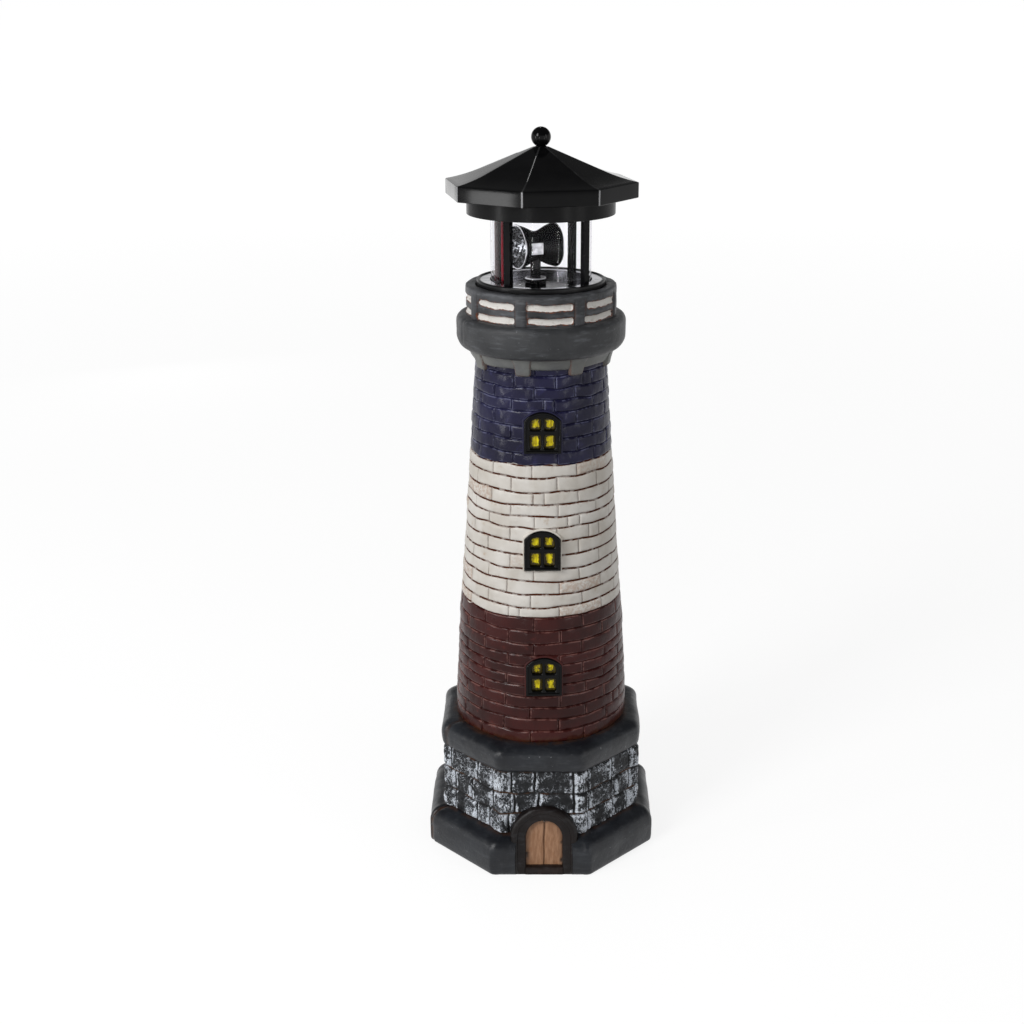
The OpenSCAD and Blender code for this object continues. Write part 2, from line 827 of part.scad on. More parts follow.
// A spur gear outline with straight flanks, tooth 0 pointing along +X
function tooth_angle(width, radius) = width/radius*90/PI;
module gear_outline(teeth) {
    pitch_r = gear_module*teeth/2;
    thick = PI*gear_module/2 - backlash;
    stations = [
        [pitch_r - 1.22*gear_module, 1.36*thick], [pitch_r - 0.5*gear_module, 1.24*thick],
        [pitch_r, thick], [pitch_r + 0.6*gear_module, 0.72*thick], [pitch_r + 0.95*gear_module, 0.42*thick]
    ];
    polygon([for (k = [0:teeth - 1], s = [0:2*len(stations) - 1])
        let (rising = s < len(stations),
             station = stations[rising ? s : 2*len(stations) - 1 - s],
             swing = (rising ? -1 : 1)*tooth_angle(station[1], station[0]),
             angle = 360/teeth*k + swing)
        station[0]*[cos(angle), sin(angle)]]);
}

module beacon_gear() {
    color("ivory") translate([spindle_x, 0, 0]) difference() {
        union() {
            translate([0, 0, gear_z]) rotate([0, 0, 180/gear_teeth])
                linear_extrude(gear_w) gear_outline(gear_teeth);
            disc(gear_hub_r, gear_z - gear_hub_over, gear_w + 2*gear_hub_over);
        }
        disc(spindle_r, gear_z - 2, gear_w + 6);
    }
}

module motor_pinion() {
    color("ivory") translate([motor_x, 0, 0]) difference() {
        translate([0, 0, gear_z]) rotate([0, 0, 180 - 360/pinion_teeth*floor(pinion_teeth/2)])
            linear_extrude(gear_w) gear_outline(pinion_teeth);
        disc(shaft_r, gear_z - 1, gear_w + 2);
    }
}

module motor_shaft() {
    color("silver") translate([motor_x, 0, 0])
        disc(shaft_r, motor_plate_z - 2, gear_z + gear_w - motor_plate_z + 2.4);
}

module motor() {
    color("silver") difference() {
        translate([motor_x, 0, 0]) {
            disc(motor_r, motor_plate_z - motor_h, motor_h);
            disc(pilot_r, motor_plate_z - eps, 0.8);
            disc(2.2, motor_plate_z - motor_h - 1, 1 + eps);
        }
        translate([motor_x, 0, 0]) disc(shaft_r + run_gap, motor_plate_z - 2.4, 10);
        at_motor_screws() disc(motor_screw_r, motor_plate_z - 2, 4);
    }
}

module beacon_spindle() {
    foot_z = motor_plate_z - 0.8;
    color("silver") translate([spindle_x, 0, 0])
        ring(spindle_r, spindle_bore_r, foot_z, beacon_z - waist_r + 3 - foot_z);
}

// ---------- beacon ----------

// Puts a turned shape on the beacon's level axis, +Z of the shape toward one reflector
module on_beacon_axis(side) {
    translate([spindle_x, 0, beacon_z]) rotate([0, 0, beacon_turn])
        rotate([side > 0 ? 90 : -90, 0, 0]) children();
}

module lamp_window_block(depth) {
    on_beacon_axis(1) translate([lamp_window_r, -lamp_window_half, lamp_window_from])
        cube([depth, 2*lamp_window_half, lamp_window_l]);
}

module beacon_shell() {
    color([0.12, 0.12, 0.14]) difference() {
        for (side = [-1, 1]) on_beacon_axis(side) rotate_extrude($fn = 96) {
            polygon([
                [throat_r, -eps], [waist_r, -eps], [rim_r - 0.5, rim_reach - 1.6], [rim_r, rim_reach - 1.1],
                [rim_r, rim_reach], [rim_r - shell_t, rim_reach],
                [rim_r - shell_t, reflector_face - 1], [waist_r - 0.9, web], [throat_r, web]
            ]);
        }
        translate([spindle_x, 0, 0]) {
            disc(spindle_r, beacon_z - waist_r - 1, 4);
            disc(spindle_bore_r, beacon_z - waist_r, waist_r);
        }
        lamp_window_block(5);
    }
}

module lamp_window() {
    color("whitesmoke") lamp_window_block(lamp_window_t);
}

module reflector(side) {
    steps = 8;
    span = reflector_face - web;
    inner = [for (i = [0:steps]) let (d = web + span*i/steps) [dish_r(d) - reflector_t, d]];
    outer = [for (i = [steps:-1:0]) let (d = web + span*i/steps) [dish_r(d), d]];
    color("silver") on_beacon_axis(side) rotate_extrude($fn = 96) polygon(concat(inner, outer));
}

module lens(side) {
    color([0.9, 0.95, 1, 0.35]) on_beacon_axis(side)
        disc(rim_r - shell_t, rim_reach - lens_t - 0.1, lens_t);
}

module lamp_stem() {
    color("silver") translate([spindle_x, 0, 0])
        disc(stem_r, board_z + board_t, beacon_z - lamp_foot - board_z - board_t);
}

module beacon_lamp() {
    color("lightyellow") translate([spindle_x, 0, 0]) {
        disc(lamp_r, beacon_z - lamp_foot, lamp_foot + lamp_top);
        translate([0, 0, beacon_z + lamp_top]) sphere(r = lamp_r);
    }
}

// ---------- board, battery and switch ----------

module circuit_board() {
    color("green") difference() {
        translate([board_x0, -board_half, board_z]) cube([board_x1 - board_x0, 2*board_half, board_t]);
        at_pegs(board_pegs) disc(screw_r, board_z - 1, 4);
        at_pegs(drive_pegs) disc(head_r + 1.5, board_z - 1, 4);
        at_pegs(cup_pegs) disc(cup_peg_r + 0.6, board_z - 1, 4);
    }
}

module battery_box_hollow(grow, z0, z1) {
    translate([-box_in_l/2 - grow, box_y - box_in_w/2 - grow, z0])
        cube([box_in_l + 2*grow, box_in_w + 2*grow, z1 - z0]);
}

module housing_cup() {
    color([0.09, 0.09, 0.09]) difference() {
        union() {
            ring(cup_r, cup_r - cup_wall, cup_z, ring_floor_z - cup_z);
            intersection() {
                disc(cup_r - eps, cup_z, ring_floor_z - cup_z);
                union() {
                    disc(cup_r, cup_z, cup_floor);
                    battery_box_hollow(box_wall, cup_z, box_top_z + box_wall);
                    at_pegs(cup_pegs) disc(cup_peg_r, cup_z, motor_plate_z - cup_z);
                }
            }
        }
        battery_box_hollow(0, cup_z - 1, box_top_z);
        at_pegs(cup_pegs) {
            disc(head_r + fit_gap, cup_z - 1, cup_screw_z - cup_z + 1);
            disc(screw_r, cup_z, motor_plate_z - cup_z + 1);
        }
        at_posts() disc(head_r + fit_gap, drive_z - head_t - fit_gap, 10);
        translate([-knob_l/2 - fit_gap, switch_y - knob_w/2 - fit_gap, cup_z - 1])
            cube([knob_slot_l, knob_w + 2*fit_gap, cup_floor + 2]);
        translate([lamp_x, lamp_y, 0]) disc(window_lamp_r + screw_play, cup_z - 1, cup_floor + 2);
        translate([door_screw_x, door_screw_y, 0]) disc(screw_r, cup_z - 1, cup_floor + 2);
    }
}

module battery_door() {
    color([0.12, 0.12, 0.12]) difference() {
        union() {
            translate([-box_in_l/2 + fit_gap, box_y - box_in_w/2 + fit_gap, cup_z])
                cube([box_in_l - 2*fit_gap, box_in_w - 2*fit_gap, door_t]);
            translate([door_screw_x - tab_w/2, box_y, cup_z - tab_t])
                cube([tab_w, box_in_w/2 + tab_l, tab_t]);
        }
        translate([door_screw_x, door_screw_y, 0]) disc(screw_r, cup_z - 2, 4);
    }
}

module door_screw() {
    color("silver") translate([door_screw_x, door_screw_y, 0])
        screw_up(cup_z - tab_t, tab_t + cup_floor - 0.4, screw_r - screw_play);
}

module battery() {
    cap_r = 1.9;
    cap_l = 1;
    color("seagreen") translate([battery_x, box_y, battery_z]) rotate([0, 90, 0]) {
        translate([0, 0, -battery_l/2]) cylinder(d = battery_d, h = battery_l - cap_l);
        translate([0, 0, battery_l/2 - cap_l - eps]) cylinder(r = cap_r, h = cap_l + eps);
    }
}

// Conical coil on the cell's flat end, a round wire swept along a rising spiral
module contact_spring() {
    turns = 3;
    per_turn = 12;
    wire = 0.25;
    sides = 6;
    from = contact_t + 0.8*wire;
    to = battery_x - battery_l/2 + box_in_l/2 - wire;
    rings = turns*per_turn;
    function spiral(i) = let (t = i/rings, r = 3.6 - 1.8*t, a = 360*turns*t)
        [from + (to - from)*t, r*cos(a), r*sin(a)];
    points = [for (i = [0:rings], s = [0:sides - 1])
        let (c = spiral(i), a = 360*turns*i/rings, b = 360*s/sides)
        c + wire*[-sin(b), cos(a)*cos(b), sin(a)*cos(b)]];
    color("silver") translate([-box_in_l/2, box_y, battery_z]) {
        translate([0, -contact_w/2, -contact_w/2]) cube([contact_t, contact_w, contact_w]);
        polyhedron(points, tube_faces(rings, sides));
    }
}

module contact_plate() {
    gap = box_in_l/2 - battery_x - battery_l/2;
    color("silver") translate([box_in_l/2, box_y, battery_z]) {
        translate([-contact_t, -contact_w/2, -contact_w/2]) cube([contact_t, contact_w, contact_w]);
        rotate([0, -90, 0]) cylinder(r = 1.6, h = gap);
    }
}

module switch_body() {
    color("silver")
        translate([(switch_travel - switch_l)/2, switch_y - switch_w/2, cup_z + cup_floor])
            difference() {
                cube([switch_l, switch_w, switch_t]);
                translate([(switch_l - knob_slot_l)/2, (switch_w - knob_w)/2 - seat_gap, -1])
                    cube([knob_slot_l, knob_w + 2*seat_gap, 3.2]);
            }
}

module switch_knob() {
    color("black") translate([-knob_l/2, switch_y - knob_w/2, cup_z - 1])
        cube([knob_l, knob_w, cup_floor + 3]);
}

module window_lamp() {
    color("lightyellow") translate([lamp_x, lamp_y, 0]) {
        disc(window_lamp_r, cup_z - window_lamp_drop, cup_floor + 2 + window_lamp_drop);
        translate([0, 0, cup_z - window_lamp_drop]) sphere(r = window_lamp_r);
        disc(window_lamp_r + 0.5, cup_z + cup_floor, 1);
    }
}

// ---------- wires ----------

// Points down one side of the cage, from the roof to the board
function wire_route(turn, board_y) = let (x = wire_r*sin(turn), y = -wire_r*cos(turn)) [
    [x*0.86, y*0.86, soffit_top_z + 2], [x*0.94, y*0.94, soffit_top_z], [x*0.99, y*0.99, soffit_z - 2],
    [x, y, soffit_z - 4.5], [x, y, beacon_z], [x, y, motor_plate_z + 2], [x, y, motor_plate_z - 1.5],
    [x, (y + board_y)/2, motor_plate_z - 4], [x + 1, board_y, board_z + board_t + 1.4],
    [x + 1.4, board_y, board_z + board_t]
];

function unit(v) = v/norm(v);

// Faces of a closed tube whose points come as rings of one count
function tube_faces(last, sides) = concat(
    [[for (s = [0:sides - 1]) s]],
    [for (i = [0:last - 1], s = [0:sides - 1])
        [i*sides + s, (i + 1)*sides + s, (i + 1)*sides + (s + 1)%sides]],
    [for (i = [0:last - 1], s = [0:sides - 1])
        [i*sides + s, (i + 1)*sides + (s + 1)%sides, i*sides + (s + 1)%sides]],
    [[for (s = [sides - 1:-1:0]) last*sides + s]]
);

// A round tube along a list of points
module tube(route, d) {
    sides = 8;
    n = len(route);
    function along(i) = unit(route[min(i + 1, n - 1)] - route[max(i - 1, 0)]);
    function side_dir(i) = let (t = along(i), ref = [0.3, 0.95, 0.05]) unit(ref - (ref*t)*t);
    points = [for (i = [0:n - 1], s = [0:sides - 1])
        let (t = along(i), u = side_dir(i), v = cross(t, u), a = 360*s/sides)
        route[i] + d/2*(cos(a)*u + sin(a)*v)];
    polyhedron(points, tube_faces(n - 1, sides));
}

module wire_red() {
    color("crimson") tube(wire_route(wire_turns[0], 6), wire_t);
}

module wire_black() {
    color("black") tube(wire_route(wire_turns[1], 10), wire_t);
}

// ---------- screws ----------

module post_screws() {
    color("silver") at_posts() screw_up(drive_z, post_foot_z - drive_z + post_hole_l - 0.5);
}

module drive_screws() {
    color("silver") at_pegs(drive_pegs) screw_up(motor_plate_z, drive_z - motor_plate_z + plate_t);
}

module motor_screws() {
    color("silver") at_motor_screws() {
        disc(motor_screw_r, motor_plate_z - motor_screw_l, plate_t + motor_screw_l + eps);
        disc(1.2, motor_plate_top, 0.6);
    }
}

module board_screws() {
    color("silver") at_pegs(board_pegs) screw_up(board_z, board_t + 2.8);
}

module cup_screws() {
    color("silver") at_pegs(cup_pegs) screw_up(cup_screw_z, motor_plate_top - cup_screw_z);
}

module roof_screws() {
    color("silver") at_roof_screws() screw_up(soffit_z, soffit_t + 2.8);
}

tower_shell();
window_pane(2);  // window_pane_upper
window_pane(1);  // window_pane_middle
window_pane(0);  // window_pane_lower
base_cover();
roof();
finial();
solar_cell(3);  // solar_cell_left
solar_cell(4);  // solar_cell_rear
solar_cell(5);  // solar_cell_right
roof_collar();
cage_posts();
clear_sleeve();
reflector_tray();
housing_ring();
drive_plate();
motor_plate();
housing_cup();
bearing_bush();
motor();
circuit_board();
lamp_stem();
beacon_lamp();
window_lamp();
battery();
contact_spring();
contact_plate();
switch_body();
wire_red();
wire_black();
post_screws();
drive_screws();
motor_screws();
board_screws();
cup_screws();
roof_screws();
beacon_shell();
reflector(1);  // reflector_left
reflector(-1);  // reflector_right
lens(1);  // lens_left
lens(-1);  // lens_right
lamp_window();
beacon_spindle();
beacon_gear();
motor_pinion();
motor_shaft();
switch_knob();
battery_door();
door_screw();
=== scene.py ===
import math

import bpy
import numpy as np
from mathutils import Matrix, Vector


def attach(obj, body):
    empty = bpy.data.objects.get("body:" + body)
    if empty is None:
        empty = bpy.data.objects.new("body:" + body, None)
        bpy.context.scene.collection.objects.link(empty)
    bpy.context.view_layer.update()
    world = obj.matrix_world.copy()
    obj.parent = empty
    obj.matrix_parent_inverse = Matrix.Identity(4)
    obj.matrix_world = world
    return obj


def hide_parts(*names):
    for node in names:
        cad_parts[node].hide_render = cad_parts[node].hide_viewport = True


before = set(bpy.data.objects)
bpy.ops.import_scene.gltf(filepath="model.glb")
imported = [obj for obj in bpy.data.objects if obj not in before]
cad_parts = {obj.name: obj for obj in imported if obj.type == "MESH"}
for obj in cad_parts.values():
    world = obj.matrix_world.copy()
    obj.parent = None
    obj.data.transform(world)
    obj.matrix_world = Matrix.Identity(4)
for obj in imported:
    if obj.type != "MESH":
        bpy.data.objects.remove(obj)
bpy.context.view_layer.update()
print("frame loaded:", len(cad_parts), "nodes")

mm = 0.001
limit = 59.98  # no point goes further out in x or y, in mm
halfSide = math.tan(math.radians(22.5))  # of an octagon whose half width is 1
rng = np.random.default_rng(41)


# Colours and nodes

def linearOf(hexColour):
    # an sRGB hex colour as the linear one a shader takes
    parts = [int(hexColour[i:i + 2], 16) / 255 for i in (1, 3, 5)]
    return [c / 12.92 if c <= 0.04045 else ((c + 0.055) / 1.055) ** 2.4 for c in parts] + [1.0]


def perMm(size):
    # the scale of a texture whose pattern repeats every size mm
    return 1000 / size


def addNode(tree, kind, settings=None, links=None):
    # a node with its settings (an input by name or number, else a property) and what feeds it
    node = tree.nodes.new("ShaderNode" + kind)
    for key, value in (settings or {}).items():
        if key == "ramp":
            stops = node.color_ramp.elements
            while len(stops) < len(value):
                stops.new(0.5)
            for stop, (place, colour) in zip(stops, value):
                stop.position = place
                stop.color = linearOf(colour) if isinstance(colour, str) else [colour] * 3 + [1]
        elif isinstance(key, int) or key in node.inputs:
            node.inputs[key].default_value = linearOf(value) if isinstance(value, str) else value
        else:
            setattr(node, key, value)
    for key, source in (links or {}).items():
        tree.links.new(source, node.inputs[key])
    return node


def startMaterial(name):
    # an empty material and each point's place on its piece, in metres
    material = bpy.data.materials.new(name)
    material.use_nodes = True
    material.node_tree.nodes.clear()
    return material, addNode(material.node_tree, "TexCoord").outputs["Object"]


def closeMaterial(material, settings, links, height=None, bumpMm=0.1):
    # joins the shader to the output, with a height in 0 to 1 that stands bumpMm high
    tree = material.node_tree
    if height is not None:
        bump = addNode(tree, "Bump", {"Strength": 1.0, "Distance": bumpMm * mm}, {"Height": height})
        links = {**links, "Normal": bump.outputs["Normal"]}
    shader = addNode(tree, "BsdfPrincipled", settings, links)
    addNode(tree, "OutputMaterial", None, {"Surface": shader.outputs["BSDF"]})
    return material


def smoothNoise(points, size, seed):
    # soft lumps between -1 and 1, one per size mm
    p = np.asarray(points, float).reshape(-1, 3) / size + 1000.5
    cell = np.floor(p).astype(np.int64)
    f = p - cell
    f = f * f * (3 - 2 * f)
    total = np.zeros(len(p))
    for dx in (0, 1):
        for dy in (0, 1):
            for dz in (0, 1):
                n = (cell[:, 0] + dx) * 73856093 ^ (cell[:, 1] + dy) * 19349663
                n = n ^ (cell[:, 2] + dz) * 83492791 ^ (seed + 1) * 2654435761
                n = (n ^ (n >> 13)) * 1274126177
                value = ((n ^ (n >> 16)) & 0xffff) / 32767.5 - 1
                weight = np.abs(1 - dx - f[:, 0]) * np.abs(1 - dy - f[:, 1]) * np.abs(1 - dz - f[:, 2])
                total += value * weight
    return total.reshape(np.asarray(points).shape[:-1])


def wrapped(angle):
    # degrees brought between -180 and 180
    return (angle + 180) % 360 - 180


def smoothStep(low, high, value):
    t = np.clip((value - low) / (high - low), 0, 1)
    return t * t * (3 - 2 * t)


def softened(outline, rounds=2):
    # an open outline with its corners cut again and again
    line = [tuple(p) for p in outline]
    for _ in range(rounds):
        cut = [line[0]]
        for a, b in zip(line[:-1], line[1:]):
            cut += [tuple(0.75 * u + 0.25 * v for u, v in zip(a, b)),
                    tuple(0.25 * u + 0.75 * v for u, v in zip(a, b))]
        line = cut + [line[-1]]
    return line


def evenly(outline, step):
    # points along an outline, about step apart
    line = np.array(outline, float)
    run = np.concatenate([[0], np.cumsum(np.linalg.norm(np.diff(line, axis=0), axis=1))])
    at = np.linspace(0, run[-1], max(2, int(round(run[-1] / step)) + 1))
    return np.stack([np.interp(at, run, line[:, i]) for i in range(line.shape[1])], 1)


def ringFaces(rows, columns, closed):
    # quads between rings of points, closed into a tube-like solid or left for caps
    first = np.arange(columns)
    after = np.roll(first, -1)
    faces = []
    for row in range(rows if closed else rows - 1):
        low, high = row * columns, (row + 1) % rows * columns
        faces.append(np.stack([low + first, low + after, high + after, high + first], 1))
    faces = np.concatenate(faces).tolist()
    if not closed:
        faces += [list(range(columns))[::-1], [(rows - 1) * columns + i for i in range(columns)]]
    return faces


def showPiece(name, mesh, body, material, slot, sharpAngle=40, stands=()):
    # a mesh becomes a piece that rides on a body
    mesh.shade_smooth()
    mesh.set_sharp_from_angle(angle=math.radians(sharpAngle))
    mesh.materials.clear()
    mesh.materials.append(material)
    piece = bpy.data.objects.new(name, mesh)
    bpy.context.scene.collection.objects.link(piece)
    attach(piece, body)
    if stands:
        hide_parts(*stands)


def meshPiece(name, points, faces, body, material, slot, values=None, **more):
    # a mesh in mm, with the numbers that its material reads at its points
    mesh = bpy.data.meshes.new(name)
    mesh.from_pydata((np.asarray(points, float).reshape(-1, 3) * mm).tolist(), [], faces)
    for key, value in (values or {}).items():
        numbers = np.broadcast_to(np.ravel(value), len(mesh.vertices)).astype(np.float32)
        mesh.attributes.new(key, "FLOAT", "POINT").data.foreach_set("value", numbers)
    showPiece(name, mesh, body, material, slot, **more)


def ringPiece(name, rings, body, material, slot, closed=True, **more):
    rings = np.asarray(rings, float)
    meshPiece(name, rings, ringFaces(rings.shape[0], rings.shape[1], closed), body, material, slot, **more)


def castPiece(name, rings, paint, values, **more):
    # a piece of the painted casting
    ringPiece(name, rings, "tower", paints[paint], "painted_resin", values=values, **more)


def slabMesh(front, back, keep):
    # a grid of points, its copy behind and the sides between; only quads whose points are all kept
    rows, columns = keep.shape
    ids = np.arange(keep.size).reshape(rows, columns)
    quads = np.stack([ids[:-1, :-1], ids[:-1, 1:], ids[1:, 1:], ids[1:, :-1]], -1).reshape(-1, 4)
    quads = quads[keep.ravel()[quads].all(1)].tolist()
    edges = dict.fromkeys((a, b) for quad in quads for a, b in zip(quad, quad[1:] + quad[:1]))
    faces = quads + [[v + keep.size for v in quad[::-1]] for quad in quads]
    faces += [[b, a, a + keep.size, b + keep.size] for a, b in edges if (b, a) not in edges]
    used = sorted({v for face in faces for v in face})
    number = {v: n for n, v in enumerate(used)}
    points = np.concatenate([front.reshape(-1, 3), back.reshape(-1, 3)])[used]
    return points, [[number[v] for v in face] for face in faces], used


def lumps(points, *waves):
    # soft noises added up, each a height, a size in mm and a seed
    return sum(height * smoothNoise(points, size, seed) for height, size, seed in waves)


def padded(value, rings, fill=0.0):
    # a value for all rings: the fill for those that follow the outer ones
    return np.concatenate([value, np.full((len(rings) - len(value), rings.shape[1]), float(fill))])


def polar(radius, turns, height):
    # points round the middle; turns are in radians, from the front toward +X
    return np.stack(np.broadcast_arrays(radius * np.sin(turns), -radius * np.cos(turns), height), -1)


def turnedRings(profile, angles):
    # rings of a turned shape, from the radius and height of its outline
    radius, height = np.array(profile, float).T[:, :, None]
    return polar(radius, np.radians(angles), height)


def octagonColumns(straight, corner, turn=0.0):
    # for each column of an octagon: its side's angle, its place on the side (-1 to 1), its turn on the corner
    columns = []
    for k in range(8):
        for s in np.linspace(-1, 1, straight):
            columns.append((turn + 45 * k, s, 0.0))
        for j in range(1, corner + 1):
            columns.append((turn + 45 * k, 1.0, 45 * j / (corner + 1)))
    return np.array(columns).T


def octagonRings(profile, columns, rounding):
    # rings round an octagon: half width and height from the profile, with rounded corners
    side, along, bend = columns
    half, height = np.array(profile, float).T[:, :, None]
    a, b = np.radians(side)[None, :], np.radians(bend)[None, :]
    r = np.minimum(rounding, half * 0.5)
    reach = (half - r) * halfSide
    out = half - r + r * np.cos(b)
    across = along[None, :] * reach + r * np.sin(b)
    return np.stack([out * np.sin(a) + across * np.cos(a), -out * np.cos(a) + across * np.sin(a),
                     height + 0 * a], -1), np.broadcast_to(a + b, out.shape)


def linerRings(rings, sizes):
    # round rings inside a body, a radius and height for each, beside the points of its first ring
    turns = np.arctan2(rings[0, :, 0], -rings[0, :, 1])
    return np.stack([polar(radius, turns, height) for radius, height in sizes])


def octagonReach(points):
    # how far out points lie, measured square to the nearest side of an octagon
    x, y = np.abs(points[..., 0]), np.abs(points[..., 1])
    return np.maximum(np.maximum(x, y), (x + y) / math.sqrt(2))


def outwardOf(turns):
    # level directions for the given turns, in radians from the front
    return polar(1.0, turns, 0.0)


def paintNoise(place, size, detail=3.0, rough=0.55, stretch=None):
    # soft unevenness of brushed paint, one patch per size mm
    tree = place.id_data
    if stretch:
        place = addNode(tree, "Mapping", {"Scale": stretch}, {"Vector": place}).outputs["Vector"]
    return addNode(tree, "TexNoise", {"Scale": perMm(size), "Detail": detail, "Roughness": rough},
                   {"Vector": place}).outputs["Fac"]


def stepUp(source, low, high):
    # 0 below low, 1 above high, smooth between
    settings = {"interpolation_type": "SMOOTHSTEP", "From Min": low, "From Max": high}
    return addNode(source.id_data, "MapRange", settings, {"Value": source}).outputs["Result"]


def between(source, first, last):
    # runs evenly from first, where the source is 0, to last, where it is 1
    settings = {"To Min": first, "To Max": last}
    return addNode(source.id_data, "MapRange", settings, {"Value": source}).outputs["Result"]


def blendColours(share, first, second):
    # each colour is a hex one or a socket
    settings, links = {"data_type": "RGBA"}, {0: share}
    for key, colour in ((6, first), (7, second)):
        (settings if isinstance(colour, str) else links)[key] = colour
    return addNode(share.id_data, "Mix", settings, links).outputs[2]


def layered(colour, *layers):
    # colours laid on one after the other, each a share and a colour
    for share, over in layers:
        colour = blendColours(share, colour, over)
    return colour


def reckon(operation, *values):
    # a sum on numbers and sockets
    numbers = {i: value for i, value in enumerate(values) if isinstance(value, (int, float))}
    sockets = {i: value for i, value in enumerate(values) if i not in numbers}
    tree = next(iter(sockets.values())).id_data
    return addNode(tree, "Math", {"operation": operation, **numbers}, sockets).outputs["Value"]


def times(first, *others):
    # the product of sockets and numbers
    for other in others:
        first = reckon("MULTIPLY", first, other)
    return first


def plus(first, *others):
    for other in others:
        first = reckon("ADD", first, other)
    return first


def stepDown(source, low, high):
    # 1 below low, 0 above high
    return reckon("SUBTRACT", 1.0, stepUp(source, low, high))


def swing(source, amount):
    # a noise as a change to both sides of 0
    return times(reckon("SUBTRACT", source, 0.5), amount)


def measured(place, name):
    # a number that a mesh carries at its points
    settings = {"attribute_type": "GEOMETRY", "attribute_name": name}
    return addNode(place.id_data, "Attribute", settings).outputs["Fac"]


# metres above the ground between which one enamel gives way to the next
enamelEdges = {"red": (0.14045, 0.1407), "navy": (0.21895, 0.2192)}


def brickEnamel():
    # cast resin brushed by hand with three enamels: satin, thicker in the joints, the white ones washed brown
    material, place = startMaterial("handPaintedBrickEnamel")
    height = addNode(material.node_tree, "SeparateXYZ", None, {"Vector": place}).outputs["Z"]
    level = plus(height, times(paintNoise(place, 11, 2.0), 0.0042))
    navyPart = stepUp(level, *enamelEdges["navy"])
    redPart = stepDown(level, *enamelEdges["red"])
    course, upright = measured(place, "course"), measured(place, "upright")
    patch = paintNoise(place, 18)
    fine = paintNoise(place, 1.6, 4.0, 0.7)
    broken = paintNoise(place, 4.5, 3.0, 0.6)

    # what shows in and beside the joints
    ragged = times(fine, 0.55)
    courseLine = stepDown(plus(course, ragged), 0.62, 0.9)
    uprightLine = times(stepDown(plus(upright, ragged), 0.42, 0.7), 0.4)
    line = reckon("MAXIMUM", courseLine, uprightLine)
    line = times(line, reckon("MULTIPLY_ADD", stepUp(broken, 0.38, 0.5), 0.55, 0.45))
    speckle = times(stepDown(course, 0.5, 1.5), stepUp(fine, 0.52, 0.66), 0.45)
    stained = times(stepUp(measured(place, "tone"), 0.72, 0.8), stepUp(fine, 0.4, 0.6), 0.45)
    near = reckon("MINIMUM", course, upright)
    # arris: a painted highlight, paler brick edges beside the joints where they would catch the light
    arris = times(stepUp(near, 0.1, 0.45), stepDown(near, 0.5, 1.0), stepUp(broken, 0.42, 0.6), 0.55)
    foot = times(stepDown(height, 0.0708, 0.0745), stepUp(broken, 0.35, 0.6))

    white = layered("#d3cfc9", (stepUp(patch, 0.35, 0.7), "#c0bab1"), (stepUp(broken, 0.62, 0.85), "#b7a48f"),
                    (speckle, "#8f6244"), (stained, "#a27a5e"), (line, "#4a2312"))
    cloud = stepUp(patch, 0.3, 0.7)
    # the arris colours of the navy and red enamels are that painted highlight
    navy = layered("#15142a", (cloud, "#1f1e3b"), (stepUp(broken, 0.58, 0.8), "#26254a"), (arris, "#70728e"))
    red = layered("#2b0e0c", (cloud, "#3d1513"), (stepUp(broken, 0.6, 0.85), "#51201b"), (arris, "#85605a"),
                  (foot, "#402418"))
    colour = layered(white, (navyPart, navy), (redPart, red))
    gloss = plus(between(reckon("MAXIMUM", navyPart, redPart), 0.56, 0.34), swing(fine, 0.16))
    brushed = paintNoise(place, 0.9, 2.0, 0.6, (1.0, 1.0, 0.35))
    settings = {"IOR": 1.5, "Specular IOR Level": 0.05, "Coat Weight": 0.26, "Coat Roughness": 0.2}
    return closeMaterial(material, settings, {"Base Color": colour, "Roughness": gloss},
                         plus(brushed, fine), 0.13)


def charcoalPaint(name, first, second, washColour="#5a3626", roughness=0.46, specular=0.26, streaks=0.1):
    # satin charcoal acrylic over cast resin, soft brush marks painted as lighter streaks that also stand in
    # for a painted sheen, brown wash where a piece meets the next
    material, place = startMaterial(name)
    fine = paintNoise(place, 1.3, 4.0, 0.7)
    broken = paintNoise(place, 3.8, 3.0, 0.65)
    brushed = stepUp(paintNoise(place, 3.6, 3.0, 0.6, (0.3, 0.3, 1.5)), 0.5, 0.74)
    chips = stepUp(paintNoise(place, 2.4, 4.0, 0.7), 0.66, 0.7)
    colour = layered(first, (stepUp(paintNoise(place, 16), 0.3, 0.7), second),
                     (times(stepUp(broken, 0.5, 0.8), 0.1), "#5f6165"),
                     (times(stepUp(fine, 0.62, 0.8), 0.35), "#5d5f63"),
                     # lighter streaks: brush marks, and a painted sheen
                     (times(brushed, streaks), "#6b6e73"),
                     (times(measured(place, "wash"), stepUp(broken, 0.34, 0.6)), washColour),
                     (times(measured(place, "edge"), chips, 0.55), "#8f9296"))
    gloss = reckon("MULTIPLY_ADD", broken, 0.2, roughness - 0.1)
    return closeMaterial(material, {"IOR": 1.5, "Specular IOR Level": specular},
                         {"Base Color": colour, "Roughness": gloss}, plus(fine, times(broken, 2.0)), 0.09)


